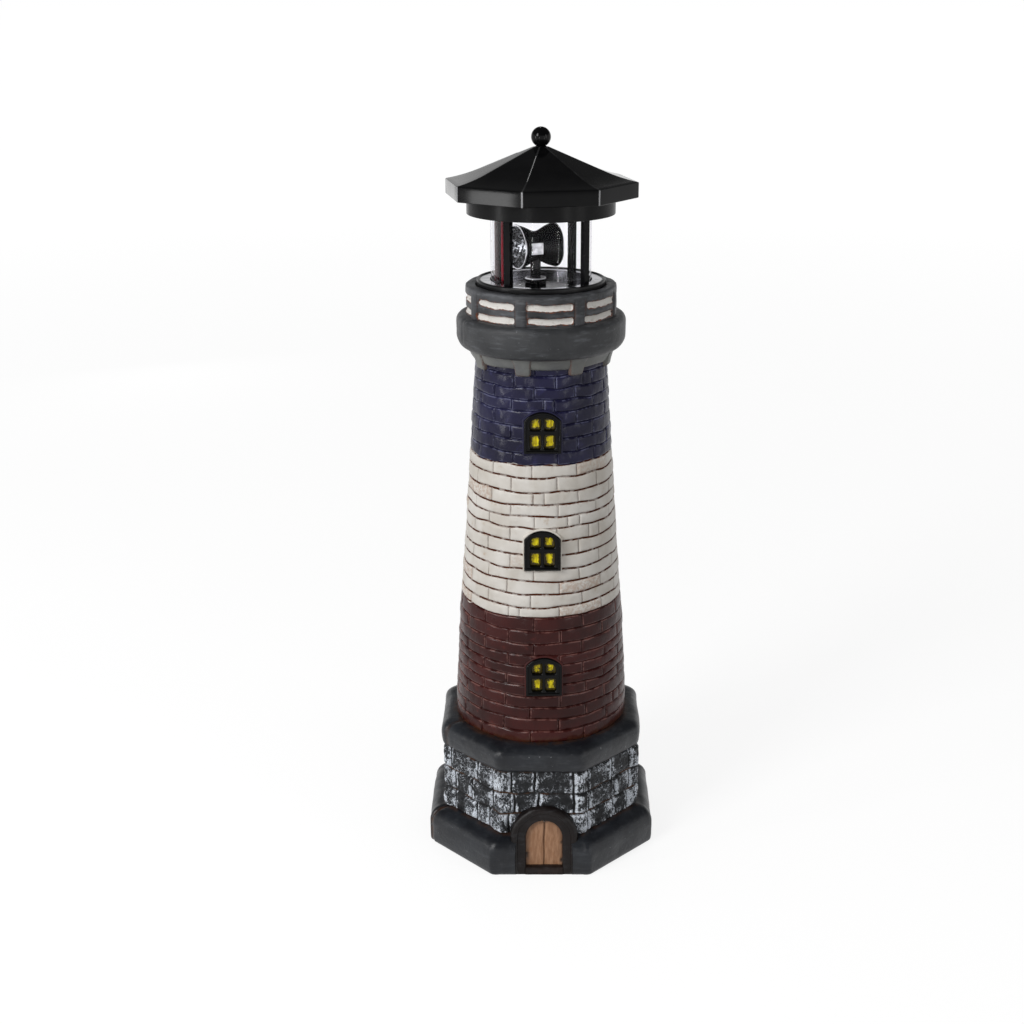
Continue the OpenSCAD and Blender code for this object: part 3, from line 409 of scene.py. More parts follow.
def drybrushedStone():
    # rough cast stone face, near-black undercoat, pale blue-white dry brush on what stands out
    material, place = startMaterial("dryBrushedCastStone")
    upright = measured(place, "upright")
    fine = paintNoise(place, 0.85, 5.0, 0.75, (1.0, 1.0, 0.5))
    patch = paintNoise(place, 9, 2.0)
    grit = paintNoise(place, 0.4, 2.0, 0.6)
    arris = times(stepUp(upright, 0.3, 0.7), stepDown(upright, 1.2, 2.8))
    score = plus(measured(place, "relief"), swing(fine, 5.6), times(measured(place, "corner"), 0.6),
                 times(arris, 1.05), swing(patch, 3.0))
    vein = reckon("ABSOLUTE", reckon("SUBTRACT", paintNoise(place, 3.4, 3.0, 0.65), 0.5))
    vein = times(stepDown(vein, 0.006, 0.02), stepUp(patch, 0.36, 0.6), 0.9)
    dry = times(reckon("MAXIMUM", stepUp(score, 0.84, 1.06), vein), stepUp(grit, 0.3, 0.55))
    crack = times(stepDown(measured(place, "joint"), 0.25, 0.85), 0.8)
    wash = times(stepDown(measured(place, "bed"), 0.2, 0.7), stepUp(patch, 0.42, 0.56), 0.85)
    colour = layered("#191a1c", (stepUp(patch, 0.3, 0.7), "#2a2c2f"), (stepUp(grit, 0.55, 0.7), "#34363a"),
                     (dry, "#e0e6ef"), (crack, "#121112"), (wash, "#46290f"))
    return closeMaterial(material, {"IOR": 1.5, "Specular IOR Level": 0.2},
                         {"Base Color": colour, "Roughness": between(dry, 0.5, 0.72)}, plus(fine, grit), 0.22)


def railPaint():
    # the charcoal of the casting with slots filled in thick off-white by hand and a rusty edge
    material, place = startMaterial("railingAcrylicWhiteSlots")
    fine = paintNoise(place, 1.2, 4.0, 0.7)
    broken = paintNoise(place, 3.2, 3.0, 0.6)
    brushed = stepUp(paintNoise(place, 3.0, 3.0, 0.6, (0.35, 0.35, 1.5)), 0.48, 0.74)
    spot = stepUp(paintNoise(place, 2.6, 3.0, 0.7), 0.68, 0.72)
    edge = plus(measured(place, "slot"), swing(broken, 1.3))
    rust = times(stepUp(edge, -0.42, -0.2), stepUp(fine, 0.42, 0.56))
    paint = stepUp(edge, 0.02, 0.16)
    # wash: a brown wash at the drum's foot, and painted shade in the grooves beside the uprights
    wash = times(measured(place, "wash"), stepUp(broken, 0.4, 0.6))
    white = layered("#d3d0cb", (stepUp(broken, 0.5, 0.8), "#b5b0a9"), (spot, "#7a4a2c"))
    colour = layered("#2b2c2e", (stepUp(paintNoise(place, 14), 0.3, 0.7), "#454649"),
                     (times(stepUp(fine, 0.6, 0.8), 0.4), "#626468"), (times(brushed, 0.4), "#74777b"),
                     (rust, "#6b3a22"), (paint, white), (wash, "#5a3423"))
    gloss = between(paint, 0.44, 0.52)
    return closeMaterial(material, {"IOR": 1.5, "Specular IOR Level": 0.22},
                         {"Base Color": colour, "Roughness": gloss}, plus(fine, broken), 0.2)


def doorPaint():
    # two boards in tan acrylic, streaked along the grain, darker in the cracks
    material, place = startMaterial("paintedDoorBoards")
    grain = paintNoise(place, 1.3, 4.0, 0.6, (1.0, 1.0, 0.16))
    worn = times(stepUp(paintNoise(place, 5), 0.5, 0.75), 0.5)
    colour = layered("#866044", (stepUp(grain, 0.35, 0.7), "#9f785b"), (worn, "#8a5c3a"),
                     (measured(place, "crack"), "#1d100a"))
    return closeMaterial(material, {"IOR": 1.5, "Roughness": 0.5}, {"Base Color": colour}, grain, 0.12)


def paneResin():
    # poured yellow resin behind the bars: glossy, streaked, with black paint run in from the frame
    material, place = startMaterial("pouredYellowResin")
    streak = paintNoise(place, 1.1, 3.0, 0.6, (1.0, 1.0, 0.3))
    smear = paintNoise(place, 1.7, 3.0, 0.65)
    dirt = times(stepUp(plus(measured(place, "rim"), swing(smear, 1.9)), 0.36, 0.58), 0.94)
    colour = layered("#b09a02", (stepUp(streak, 0.35, 0.65), "#f3e004"),
                     (times(stepUp(streak, 0.62, 0.75), 0.4), "#f8ea35"), (dirt, "#1f1104"))
    settings = {"IOR": 1.5, "Roughness": 0.3, "Specular IOR Level": 0.2, "Coat Weight": 0.15,
                "Coat Roughness": 0.06}
    return closeMaterial(material, settings, {"Base Color": colour}, streak, 0.15)


def glossPaint(name, colour, second, roughness, bumpMm=0.05, coat=0.3, size=2.0, specular=0.02, edge=None):
    # a flowing gloss or satin paint or moulding: one colour, slight unevenness
    material, place = startMaterial(name)
    patch = paintNoise(place, 9)
    fine = paintNoise(place, size, 3.0, 0.6)
    mixed = blendColours(stepUp(patch, 0.3, 0.7), colour, second)
    # the edge colour is a painted highlight on the edges that the mesh marks
    if edge:
        mixed = blendColours(times(measured(place, "edge"), stepUp(patch, 0.2, 0.6)), mixed, edge)
    rough = reckon("MULTIPLY_ADD", fine, 0.14, roughness - 0.07)
    settings = {"IOR": 1.5, "Specular IOR Level": specular, "Coat Weight": coat, "Coat Roughness": roughness}
    return closeMaterial(material, settings, {"Base Color": mixed, "Roughness": rough}, fine, bumpMm)


def metalFinish(name, colour, second, roughness, bumpMm=0.02, size=1.2, stretch=None, mottle=(0.35, 0.7)):
    # plated, drawn or turned metal: fully metallic, hairlines or ripple in the plating
    material, place = startMaterial(name)
    fine = paintNoise(place, size, 3.0, 0.6, stretch)
    mixed = blendColours(stepUp(fine, *mottle), colour, second)
    rough = reckon("MULTIPLY_ADD", fine, 0.12, roughness - 0.06)
    return closeMaterial(material, {"Metallic": 1.0}, {"Base Color": mixed, "Roughness": rough}, fine, bumpMm)


def trayFinish():
    # moulded tray: plated rim, its well left glossy black
    material, place = startMaterial("platedTrayRim")
    parts = addNode(material.node_tree, "SeparateXYZ", None, {"Vector": place})
    squares = [reckon("POWER", parts.outputs[axis], 2.0) for axis in "XY"]
    plated = stepUp(reckon("SQRT", plus(*squares)), 0.0243, 0.0246)  # metres from the middle
    fine = paintNoise(place, 5, 2.0)
    silver = blendColours(stepUp(paintNoise(place, 7.0, 2.0, 0.5), 0.3, 0.7), "#838387", "#bdbdc1")
    links = {"Base Color": blendColours(plated, "#0d0d0e", silver), "Metallic": plated,
             "Roughness": between(fine, 0.15, 0.22)}
    return closeMaterial(material, {"Specular IOR Level": 0.14}, links, fine, 0.02)


def clearStyrene(name, tint, rim, shineShare=0.8):
    # thin clear polystyrene: mostly see-through, brighter reflection and a faint grey at grazing angles
    material, place = startMaterial(name)
    tree = material.node_tree
    facing = addNode(tree, "LayerWeight", {"Blend": 0.5}).outputs["Facing"]
    clear = blendColours(reckon("POWER", facing, 9.0), tint, rim)
    see = addNode(tree, "BsdfTransparent", None, {"Color": clear})
    shine = addNode(tree, "BsdfGlossy", {"Color": "#ffffff", "Roughness": 0.04})
    bounce = reckon("MULTIPLY_ADD", reckon("POWER", facing, 5.0), shineShare, 0.006)
    bounce = times(bounce, between(paintNoise(place, 22, 2.0), 0.7, 1.0))
    both = addNode(tree, "MixShader", None, {0: bounce, 1: see.outputs[0], 2: shine.outputs[0]})
    addNode(tree, "OutputMaterial", None, {"Surface": both.outputs[0]})
    return material


def solarGlass():
    # polycrystalline silicon under resin: deep blue, fine silver fingers and two bus bars
    material, place = startMaterial("polycrystallineCell")
    tree = material.node_tree
    grain = addNode(tree, "TexVoronoi", {"Scale": perMm(3.0)}, {"Vector": place}).outputs["Color"]
    blue = blendColours(addNode(tree, "SeparateColor", None, {0: grain}).outputs[0], "#0a1430", "#16285a")
    colour = blendColours(stepUp(measured(place, "finger"), 0.5, 0.7), blue, "#8e97a6")
    settings = {"IOR": 1.5, "Roughness": 0.18, "Coat Weight": 1.0, "Coat Roughness": 0.05}
    return closeMaterial(material, settings, {"Base Color": colour})


paints = {
    "brick": brickEnamel(),
    "band": charcoalPaint("charcoalAcrylicBand", "#2a2b2d", "#38393b", streaks=0.32),
    "skirt": charcoalPaint("warmGreyAcrylicSkirt", "#626363", "#737471", "#5c2f18", streaks=0.2),
    "ledge": charcoalPaint("blueCharcoalAcrylicLedge", "#121419", "#1f2227", "#3a2417", 0.36, 0.34),
    "stone": drybrushedStone(),
    "rail": railPaint(),
    "doorFrame": charcoalPaint("brownBlackAcrylicArch", "#0d0807", "#17100f", "#2a1810", 0.34, 0.2),
    "door": doorPaint(),
    "pane": paneResin(),
    "windowBlack": glossPaint("thickBlackGlossPaint", "#040404", "#080809", 0.1, 0.07, 0.22),
}
print("casting materials made")


# Brick tower

brickwork = {
    "courseLines": [70.0, 76.4, 83.2, 89.8, 96.1, 101.6, 107.2, 112.7, 118.2, 124.7, 131.6, 138.4, 143.9,
                    150.6, 157.3, 163.7, 170.7, 177.8, 184.8, 191.0, 196.7, 203.3, 210.7, 216.9, 223.2,
                    229.9, 236.6, 243.6, 249.2, 255.0, 261.2, 267.5],  # heights of the bed joints
    "firstJoint": -6.0, "halfBrick": 18.0, "halfBricks": 20,  # degrees round the tower
    "jointDepth": 0.55, "jointHalf": 0.5, "roundedEdge": 0.16,
    "lumps": [(0.16, 7, 3), (0.13, 2.6, 5), (0.07, 1.3, 8)],  # height, size, seed
    "jitter": 1.6, "waver": 0.6, "lump": 0.2,
    # columns of a half brick in degrees; some bricks are split by a further joint at splitAt
    "columns": [-1.25, -0.55, 0, 0.55, 1.25, 2.5, 4.0, 5.6, 7.3, 9.0, 10.7, 12.4, 14.0, 15.5],
    "splitColumns": [-1.25, -0.55, 0, 0.55, 1.25, 2.5, 4.2, 6.4, 7.95, 8.5, 9.05, 10.6, 12.8, 15.2],
    "splitAt": 8.5, "splitShare": 0.09, "ownSplits": {11: 19, 20: 0},  # course and half brick, seen in front
    "rows": [0, 0.28, 0.62, 1.2, 2.2],  # from each bed joint, mm
    "inside": [(29.8, 267.0), (29.8, 252.0), (41.6, 70.0), (41.6, 66.0), (45.6, 66.0)],  # radius and height
    # heights and radii where the painted casting departs from a straight cone
    "bellyHeights": [66, 87, 101, 118, 125, 132, 139, 149, 166, 186, 209, 225, 250, 261, 268],
    "bellyRadii": [46.0, 45.15, 44.35, 43.45, 43.1, 42.55, 41.75, 41.0, 39.7, 38.35, 36.75, 35.55, 34.0, 33.1,
                   32.7],
}
windows = {
    "names": ["lower", "middle", "upper"],
    "sills": [97.0, 163.8, 223.5], "turns": [1.9, 1.0, 1.2], "grime": [0.24, 0.1, 0.04],
    "width": 18.2, "height": 20.6, "rise": 4.5, "proud": 1.2,
    "side": 3.0, "head": 3.3, "sill": 2.3, "post": 1.7, "bar": 2.6, "barHeight": 10.4,
    "corner": 0.7, "archCorner": 3.4, "sunk": 3.6, "rebate": 1.35, "pocketDepth": 3.15,
    "edge": 0.78, "bead": 2.7, "bed": 1.3, "ribs": 1.9,
}
cone = {"footRadius": 46.0, "footHeight": 70.0, "slope": 12.5 / 196}


def coneRadius(height):
    return cone["footRadius"] - (height - cone["footHeight"]) * cone["slope"]


def insideArch(x, z, width, height, rise):
    # distance-like test: positive inside the arched outline
    headRadius = (width * width / 4 + rise * rise) / (2 * rise)
    inHead = headRadius - np.hypot(x, z - (height - headRadius))
    return np.minimum(np.minimum(width / 2 - np.abs(x), z), np.where(z > height - rise - 2, inHead, 9.0))


def waverOf(wave, angles):
    # how far a hand-laid bed joint strays from level, from its 24 chance heights
    place = (angles / 15) % 24
    before = np.floor(place).astype(int)
    share = place - before
    share = share * share * (3 - 2 * share)
    return brickwork["waver"] * (wave[before % 24] * (1 - share) + wave[(before + 1) % 24] * share)


def courseColumns(number):
    # the columns of one course and how far each is from an upright joint, both in degrees
    b = brickwork
    count, span = b["halfBricks"], b["halfBrick"]
    isJoint = np.arange(count) % 2 == number % 2
    isSplit = ~isJoint & (rng.random(count) < b["splitShare"])
    if number in b["ownSplits"]:
        isSplit = np.arange(count) == b["ownSplits"][number]
    shift = rng.uniform(-b["jitter"], b["jitter"], count) * isJoint
    angles, near = [], []
    for k in range(count):
        after = (k + 1) % count
        row = np.array(b["splitColumns"] if isSplit[k] else b["columns"])
        pull = shift[k] * np.exp(-np.abs(row) / 3.5) + shift[after] * np.exp(-np.abs(row - span) / 3.5)
        angles.append(b["firstJoint"] + span * k + row + pull)
        joints = [(0, isJoint[k]), (span, isJoint[after]), (b["splitAt"], isSplit[k])]
        near.append(np.min([np.abs(row - joint) for joint, there in joints if there], axis=0))
    return np.concatenate(angles), np.concatenate(near)


def brickTower():
    b = brickwork
    lines = b["courseLines"]
    bedWave = [rng.uniform(-1, 1, 24) for _ in lines]
    rows = []
    for number, (low, high) in enumerate(zip(lines[:-1], lines[1:])):
        h = high - low
        angles, near = courseColumns(number)
        brick = np.cumsum(near < 1e-6) + number * 50
        waver, waverAbove = waverOf(bedWave[number], angles), waverOf(bedWave[number + 1], angles)
        for step in b["rows"] + [h / 2] + [h - row for row in b["rows"][:0:-1]]:
            share = step / h
            z = low + step + (1 - share) * waver + share * waverAbove
            rows.append([angles, z, np.full(len(angles), min(step, h - step)),
                         np.minimum(near * coneRadius(z) * math.pi / 180, 9), brick])
    angle, z, course, upright, brick = np.array(rows).transpose(1, 0, 2)
    brick = brick.astype(int)
    close = np.minimum(course, upright)
    radius = np.interp(z, b["bellyHeights"], b["bellyRadii"])
    a = np.radians(angle)
    at = polar(radius, a, z)
    tone = rng.uniform(-1, 1, brick.max() + 60)[brick]
    radius += tone * b["lump"] * smoothStep(0.2, 1.2, close)
    radius -= b["jointDepth"] * (1 - smoothStep(0.08, b["jointHalf"], close))
    radius -= b["roundedEdge"] * np.exp(-np.maximum(close - b["jointHalf"], 0) / 0.7)
    radius += lumps(at, *b["lumps"])
    for sill, turn in zip(windows["sills"], windows["turns"]):
        x = np.radians(wrapped(angle - turn)) * coneRadius(z)
        inArch = insideArch(x, z - sill, windows["width"], windows["height"], windows["rise"])
        pocket = inArch > windows["rebate"]
        radius = np.where(pocket, coneRadius(z) - windows["pocketDepth"], radius)
    outer = polar(radius, a, z)
    rings = np.concatenate([outer, turnedRings(b["inside"], angle[0])])
    castPiece("brickTower", rings, "brick", {
        "course": padded(np.minimum(course, 3), rings, 3),
        "upright": padded(np.minimum(upright, 3), rings, 3),
        "tone": padded(tone, rings)}, stands=["tower_shell"], sharpAngle=70)


brickTower()
print("brick tower laid")


# Gallery

gallery = {
    "bandLow": 269.5, "bandHigh": 285.9, "bandRadius": 42.1, "bulge": 3.4, "footDrop": 6.6,
    "seam": -66.0, "seamHalf": 0.9, "seamDepth": 0.3,
    "railRadius": 37.2, "seatRadius": 32.1, "shelf": 296.0, "boreRadius": 29.6,
    "turn": -15.0, "bays": 8, "uprightHalf": 3.9,
    "slotHalf": 11.5, "slotRows": [288.2, 294.6], "slotHeight": 3.1, "slotDepth": 0.95,
    "skirt": [(30.0, 266.5), (32.6, 264.0), (33.9, 263.8), (35.0, 265.7), (35.9, 267.8), (37.3, 270.2),
              (30.0, 271.0)],  # radius and height
    "corbelHalf": 4.1, "corbelLow": 260.8, "corbelBack": 31.5,
    # height, radius of the front and width of each level of a corbel
    "corbelRows": [(260.8, 33.4, 0.72), (261.05, 34.2, 0.84), (261.8, 34.7, 0.9), (264.0, 35.2, 0.96),
                   (267.0, 36.0, 1.06), (269.0, 37.2, 1.2), (271.0, 38.4, 1.3)],
    # across a corbel, as a share of its half width, and how far the front stands out there
    "corbelFront": [(-1, -0.8), (-0.93, -0.2), (-0.8, 0), (-0.3, 0.15), (0.3, 0.15), (0.8, 0), (0.93, -0.2),
                    (1, -0.8)],
    # columns of a bay in degrees, denser at the upright's edges
    "columns": [-4.4, -3.8, -3.1, -1.5, 0, 1.5, 3.1, 3.8, 4.4, 5.2, 5.8, *np.linspace(6.5, 38.5, 27), 39.2,
                39.8],
    "capHeights": [291.4, 297.2, 298.2, 299.2], "uprightTop": 298.0, "uprightLift": 0.6, "groove": 0.3,
    # the rounded top edge of the drum, then its seat, shelf and bore
    "rim": [(37.15, 299.9), (36.7, 300.25), (35.9, 300.42), (34.6, 300.38), (33.2, 300.42), (32.5, 300.3)],
}


def galleryBand():
    g = gallery
    angles = np.arange(0, 360, 1.5)
    low, high, r, bulge = g["bandLow"], g["bandHigh"], g["bandRadius"], g["bulge"]
    drop, foot = g["footDrop"], 1.35 * g["bulge"]
    outline = [(34.0, low)]
    outline += [(r - foot + foot * math.cos(t), low + drop + drop * math.sin(t))
                for t in np.radians(np.arange(-90, 1, 11.25))]
    outline += [(r + 0.05, (low + high) / 2)]
    outline += [(r - bulge + bulge * math.cos(t), high - bulge + bulge * math.sin(t))
                for t in np.radians(np.arange(0, 91, 11.25))]
    outline += [(36.6, high + 0.1)]
    outer = turnedRings(evenly(outline, 0.9), angles)
    seam = np.exp(-((wrapped(angles - g["seam"]) / g["seamHalf"]) ** 2))
    push = lumps(outer, (0.22, 15, 11), (0.1, 4, 12)) - g["seamDepth"] * seam[None, :]
    outer += push[..., None] * outwardOf(np.radians(angles))
    rings = np.concatenate([outer, turnedRings([(29.8, high), (29.8, low)], angles)])
    castPiece("galleryBand", rings, "band", {
        "wash": 0.4 * (1 - smoothStep(low - 0.2, low + 1.0, rings[..., 2])),
        "edge": 0.7 * smoothStep(r - 1.6, r, np.hypot(rings[..., 0], rings[..., 1]))})


def gallerySkirt():
    angles = np.arange(0, 360, 2.0)
    rings = turnedRings(softened(gallery["skirt"]), angles)
    wave = 0.5 * smoothNoise(rings, 9, 21) * (1 - smoothStep(263, 266, rings[..., 2]))
    rings += (0.2 * smoothNoise(rings, 8, 20))[..., None] * outwardOf(np.radians(angles))
    rings[..., 2] += wave
    castPiece("gallerySkirt", rings, "skirt",
              {"wash": 0.55 * (1 - smoothStep(263.4, 264.6, rings[..., 2])), "edge": 0.0})


def galleryCorbels():
    g = gallery
    section = [(-1, None), *g["corbelFront"], (1, None)]
    quads = ringFaces(len(g["corbelRows"]), len(section), False)
    points, faces, wash = [], [], []
    for k in range(g["bays"]):
        turn = math.radians(g["turn"] + 45 * k)
        cos, sin = math.cos(turn), math.sin(turn)
        faces += [[len(points) + i for i in face[::-1]] for face in quads]
        for z, reach, wide in g["corbelRows"]:
            for across, stand in section:
                u = across * g["corbelHalf"] * wide
                w = g["corbelBack"] if stand is None else reach + stand
                points.append((cos * u + sin * w, sin * u - cos * w, z))
                foot = max(0.0, 1 - (z - g["corbelLow"]) / 1.2)
                wash.append(foot + (0.9 if abs(across) > 0.9 else 0))
    points = np.array(points)
    points += 0.16 * np.stack([smoothNoise(points, 2.4, seed) for seed in (31, 32, 33)], -1)
    meshPiece("galleryCorbels", points, faces, "tower", paints["skirt"], "painted_resin",
              values={"wash": 0.6 * np.clip(wash, 0, 1), "edge": 0.0}, sharpAngle=50)


def railingDrum():
    g = gallery
    bay = 360 / g["bays"]
    offsets = np.array(g["columns"])
    angles = np.concatenate([g["turn"] + bay * k + offsets for k in range(g["bays"])])
    local = np.tile(offsets, g["bays"])
    heights = [285.0, 285.8]
    for middle in g["slotRows"]:
        half = g["slotHeight"] / 2
        heights += [middle - half + up for up in (-0.35, -0.05, 0.3)] + [middle - 0.7, middle, middle + 0.7]
        heights += [middle + half + up for up in (-0.3, 0.05, 0.35)]
    heights = sorted(set(round(h, 2) for h in heights + g["capHeights"]))
    z = np.array(heights)[:, None] + 0 * angles[None, :]
    a = np.radians(angles)[None, :]
    radius = np.full(z.shape, g["railRadius"])
    along = np.radians(local - bay / 2)[None, :] * g["railRadius"]
    at = polar(radius, a, z)
    bayNumber = np.repeat(np.arange(g["bays"]), len(offsets))
    slot = np.full(z.shape, -3.0)
    for j, middle in enumerate(g["slotRows"]):
        reach = g["slotHalf"] + rng.uniform(-0.7, 0.3, g["bays"])[bayNumber][None, :]
        slide = rng.uniform(-0.5, 0.5, g["bays"])[bayNumber][None, :]
        rise = middle + 0.55 * smoothNoise(at * [1, 1, 0], 7, 40 + j)
        half = g["slotHeight"] / 2 + 0.3 * smoothNoise(at * [1, 1, 0], 3.4, 43 + j)
        dx, dz = np.abs(along - slide) - (reach - 1.1), np.abs(z - rise) - (half - 1.1)
        gap = np.hypot(np.maximum(dx, 0), np.maximum(dz, 0)) + np.minimum(np.maximum(dx, dz), 0) - 1.1
        slot = np.maximum(slot, -gap)
    radius -= g["slotDepth"] * smoothStep(-0.15, 0.45, slot)
    upright = 1 - smoothStep(g["uprightHalf"] - 0.6, g["uprightHalf"] + 0.3, np.abs(local))
    beside = np.exp(-((np.abs(local) - g["uprightHalf"] - 0.7) / 0.6) ** 2)[None, :] * (z < g["uprightTop"])
    radius += g["uprightLift"] * upright[None, :] * (z < g["uprightTop"])
    radius -= g["groove"] * beside
    radius += lumps(at, (0.2, 5, 46), (0.14, 2.2, 47))
    outer = polar(radius, a, z)
    seat, bore, shelf = g["seatRadius"], g["boreRadius"], g["shelf"]
    rim = turnedRings(g["rim"], angles)
    rim[..., 2] += np.minimum(0.3 * smoothNoise(rim, 3.2, 48), 0.07)
    rim += (0.2 * smoothNoise(rim, 4, 49))[..., None] * outwardOf(a)
    inside = [(seat, 299.8), (seat, shelf), (bore, shelf), (bore, 284.6), (35.0, 284.6)]
    rings = np.concatenate([outer, rim, turnedRings(inside, angles)])
    wash = 0.25 * (1 - smoothStep(285.6, 286.4, rings[..., 2]))
    # beside the uprights the wash is painted shade in the grooves
    wash = np.maximum(wash, padded(0.6 * beside, rings))
    castPiece("railingDrum", rings, "rail", {"slot": padded(slot, rings, -3), "wash": wash}, sharpAngle=55)


galleryBand()
gallerySkirt()
galleryCorbels()
railingDrum()
print("gallery made")


# Foot of the casting

foot = {"doorAt": 1.6, "coverRadius": 44.1, "seamHalf": 0.8, "seamDepth": 0.7}
plinthShape = {
    "half": 60.0, "low": 0.0, "rounding": 5.5, "straight": 31, "spacing": 1.15, "bow": 0.9,
    "seam": -66.0, "seamTop": (15, 18), "lumps": [(0.35, 17, 60), (0.16, 5, 61)],
    # out from the half width and up from the foot
    "outline": [(-1.3, 0.0), (-0.4, 0.7), (0.1, 3.0), (0.3, 9.0), (0.1, 13.2), (-1.1, 16.6), (-3.4, 18.9),
                (-6.6, 19.7), (-9.5, 20.4)],
}
ledgeShape = {
    "half": 53.0, "low": 56.0, "high": 70.0, "rounding": 7.0, "straight": 27, "spacing": 1.05, "bow": 0.0,
    "seam": -64.0, "seamTop": (66, 69), "lumps": [(0.4, 15, 70), (0.18, 4.5, 71)], "bore": 42.0,
    "outline": [(-6.0, 0.4), (-2.0, 0.0), (-0.9, 1.2), (-0.2, 4.0), (0.2, 8.0), (-0.3, 11.0), (-2.0, 13.0),
                (-4.6, 14.0), (-9.0, 14.3)],
}
wallShape = {
    "half": 51.0, "low": 19.0, "high": 56.6, "rounding": 1.6, "bore": 46.2,
    "courses": [20.0, 31.6, 43.6, 56.0], "jointDepth": 1.1, "roughness": 0.75, "cornerRun": 1.2,
}


def mouldedOctagon(shape):
    # rings of one of the foot's octagons, and how near each point is to the seam of the mould
    outline = softened([(shape["half"] + out, shape["low"] + up) for out, up in shape["outline"]])
    columns = octagonColumns(shape["straight"], 7)
    rings, turns = octagonRings(evenly(outline, shape["spacing"]), columns, shape["rounding"])
    push = lumps(rings, *shape["lumps"]) * smoothStep(0.0, 3.0, rings[..., 2])
    push += shape["bow"] * np.abs(np.sin(2 * turns))
    at = np.degrees(np.arctan2(rings[..., 0], -rings[..., 1]))
    seam = np.exp(-((at - shape["seam"]) / foot["seamHalf"]) ** 2)
    rings += (push - foot["seamDepth"] * seam)[..., None] * outwardOf(turns)
    rings[..., 2] -= foot["seamDepth"] * seam * smoothStep(*shape["seamTop"], rings[..., 2])
    return rings, seam


def plinth():
    half, wall, cover = plinthShape["half"], wallShape["half"], foot["coverRadius"]
    rings, seam = mouldedOctagon(plinthShape)
    rings[..., 2] += 0.25 * smoothNoise(rings, 9, 62) * smoothStep(12, 16, rings[..., 2])
    # room for the door's arch
    inFront = (np.abs(rings[..., 0] - foot["doorAt"]) < 14.1) & (rings[..., 1] < -40)
    rings[..., 1] = np.where(inFront, np.maximum(rings[..., 1], -50.2), rings[..., 1])
    full = np.concatenate([rings, linerRings(rings, ((46.0, 20.6), (cover, 4.0), (cover, 0.0)))])
    full[..., :2] = np.clip(full[..., :2], -limit, limit)
    full[..., 2] = np.maximum(full[..., 2], 0)
    outside = octagonReach(full)
    wash = 0.7 * (1 - smoothStep(wall + 0.8, wall + 3.2, outside)) * smoothStep(15, 18, full[..., 2])
    edge = 0.8 * smoothStep(half - 1.5, half - 0.4, outside)
    wash = np.maximum(wash, padded(seam, full))
    castPiece("plinth", full, "ledge", {"wash": wash, "edge": edge}, sharpAngle=60)


def ledge():
    half, low, high, bore = (ledgeShape[key] for key in ("half", "low", "high", "bore"))
    rings, seam = mouldedOctagon(ledgeShape)
    full = np.concatenate([rings, linerRings(rings, ((bore, high), (bore, low + 0.4)))])
    onTop = smoothStep(high - 1.6, high - 0.4, full[..., 2])
    reach = np.hypot(full[..., 0], full[..., 1]) + 0.9 * smoothNoise(full, 6, 72)
    wash = 0.8 * onTop * (1 - smoothStep(46.2, 48.6, reach))
    edge = smoothStep(half - 1.6, half - 0.5, octagonReach(full))
    wash = np.maximum(wash, padded(seam, full))
    castPiece("ledge", full, "ledge", {"wash": wash, "edge": edge}, sharpAngle=60)


def stoneWall():
    w = wallShape
    half, lines = w["half"], w["courses"]
    side = 2 * half * halfSide
    whole = side * 8
    columns = octagonColumns(82, 8)
    heights = np.linspace(w["low"], w["high"], 76)
    rings, turns = octagonRings([(half, z) for z in heights], columns, w["rounding"])
    # mm round the wall, 0 in front
    along = (columns[0] / 45).astype(int) * side + columns[1] * (side / 2 - w["cornerRun"] / 2)
    along += columns[2] / 45 * w["cornerRun"]
    level = rings[..., 2] + 0.8 * smoothNoise(rings, 8, 80)
    bed = np.min([np.full(level.shape, 9.0)] + [np.abs(level - line) for line in lines], axis=0)
    upright, tone = np.full(level.shape, 9.0), np.zeros(level.shape)
    for j in range(len(lines) - 1):
        band = (level >= lines[j]) & (level < lines[j + 1])
        seams = []
        for k in range(8):
            corner = side * (k + 0.5)
            seams += [corner - rng.uniform(3.5, 8.5), corner + rng.uniform(3.5, 9.5)]
            seams += [side * k + rng.uniform(-5, 5)]
        seams = np.sort(np.array(seams) % whole)
        u = (along[None, :] + 0.5 * smoothNoise(rings, 5, 81 + j)) % whole
        away = np.abs(u[..., None] - seams[None, None, :])
        away = np.minimum(away, whole - away)
        upright = np.where(band, away.min(-1), upright)
        stone = np.searchsorted(seams, u) % len(seams)
        tone = np.where(band, rng.uniform(-1, 1, len(seams))[stone], tone)
    joint = np.minimum(bed, upright)
    ridged = 1 - 2 * np.abs(smoothNoise(rings, 3.0, 87))
    relief = lumps(rings, (0.55, 4.2, 84), (0.4, 2.0, 85), (0.25, 1.0, 86)) + 0.35 * ridged + 0.25 * tone
    face = smoothStep(0.25, 1.3, joint)
    corner = np.exp(-((side / 2 - np.abs(columns[1]) * (side / 2)) / 2.6) ** 2)[None, :] + 0 * face
    push = w["roughness"] * relief * face - w["jointDepth"] * (1 - face) + 0.45 + 0.5 * corner * face
    rings = rings + push[..., None] * outwardOf(turns)
    full = np.concatenate([rings, linerRings(rings, ((w["bore"], w["high"]), (w["bore"], w["low"])))])
    castPiece("stoneWall", full, "stone", {
        "relief": padded(relief * face, full), "corner": padded(corner, full),
        "joint": padded(joint, full, 9), "bed": padded(bed, full, 9),
        "upright": padded(upright, full, 9)}, sharpAngle=75)


plinth()
ledge()
stoneWall()
print("foot made")


# Door

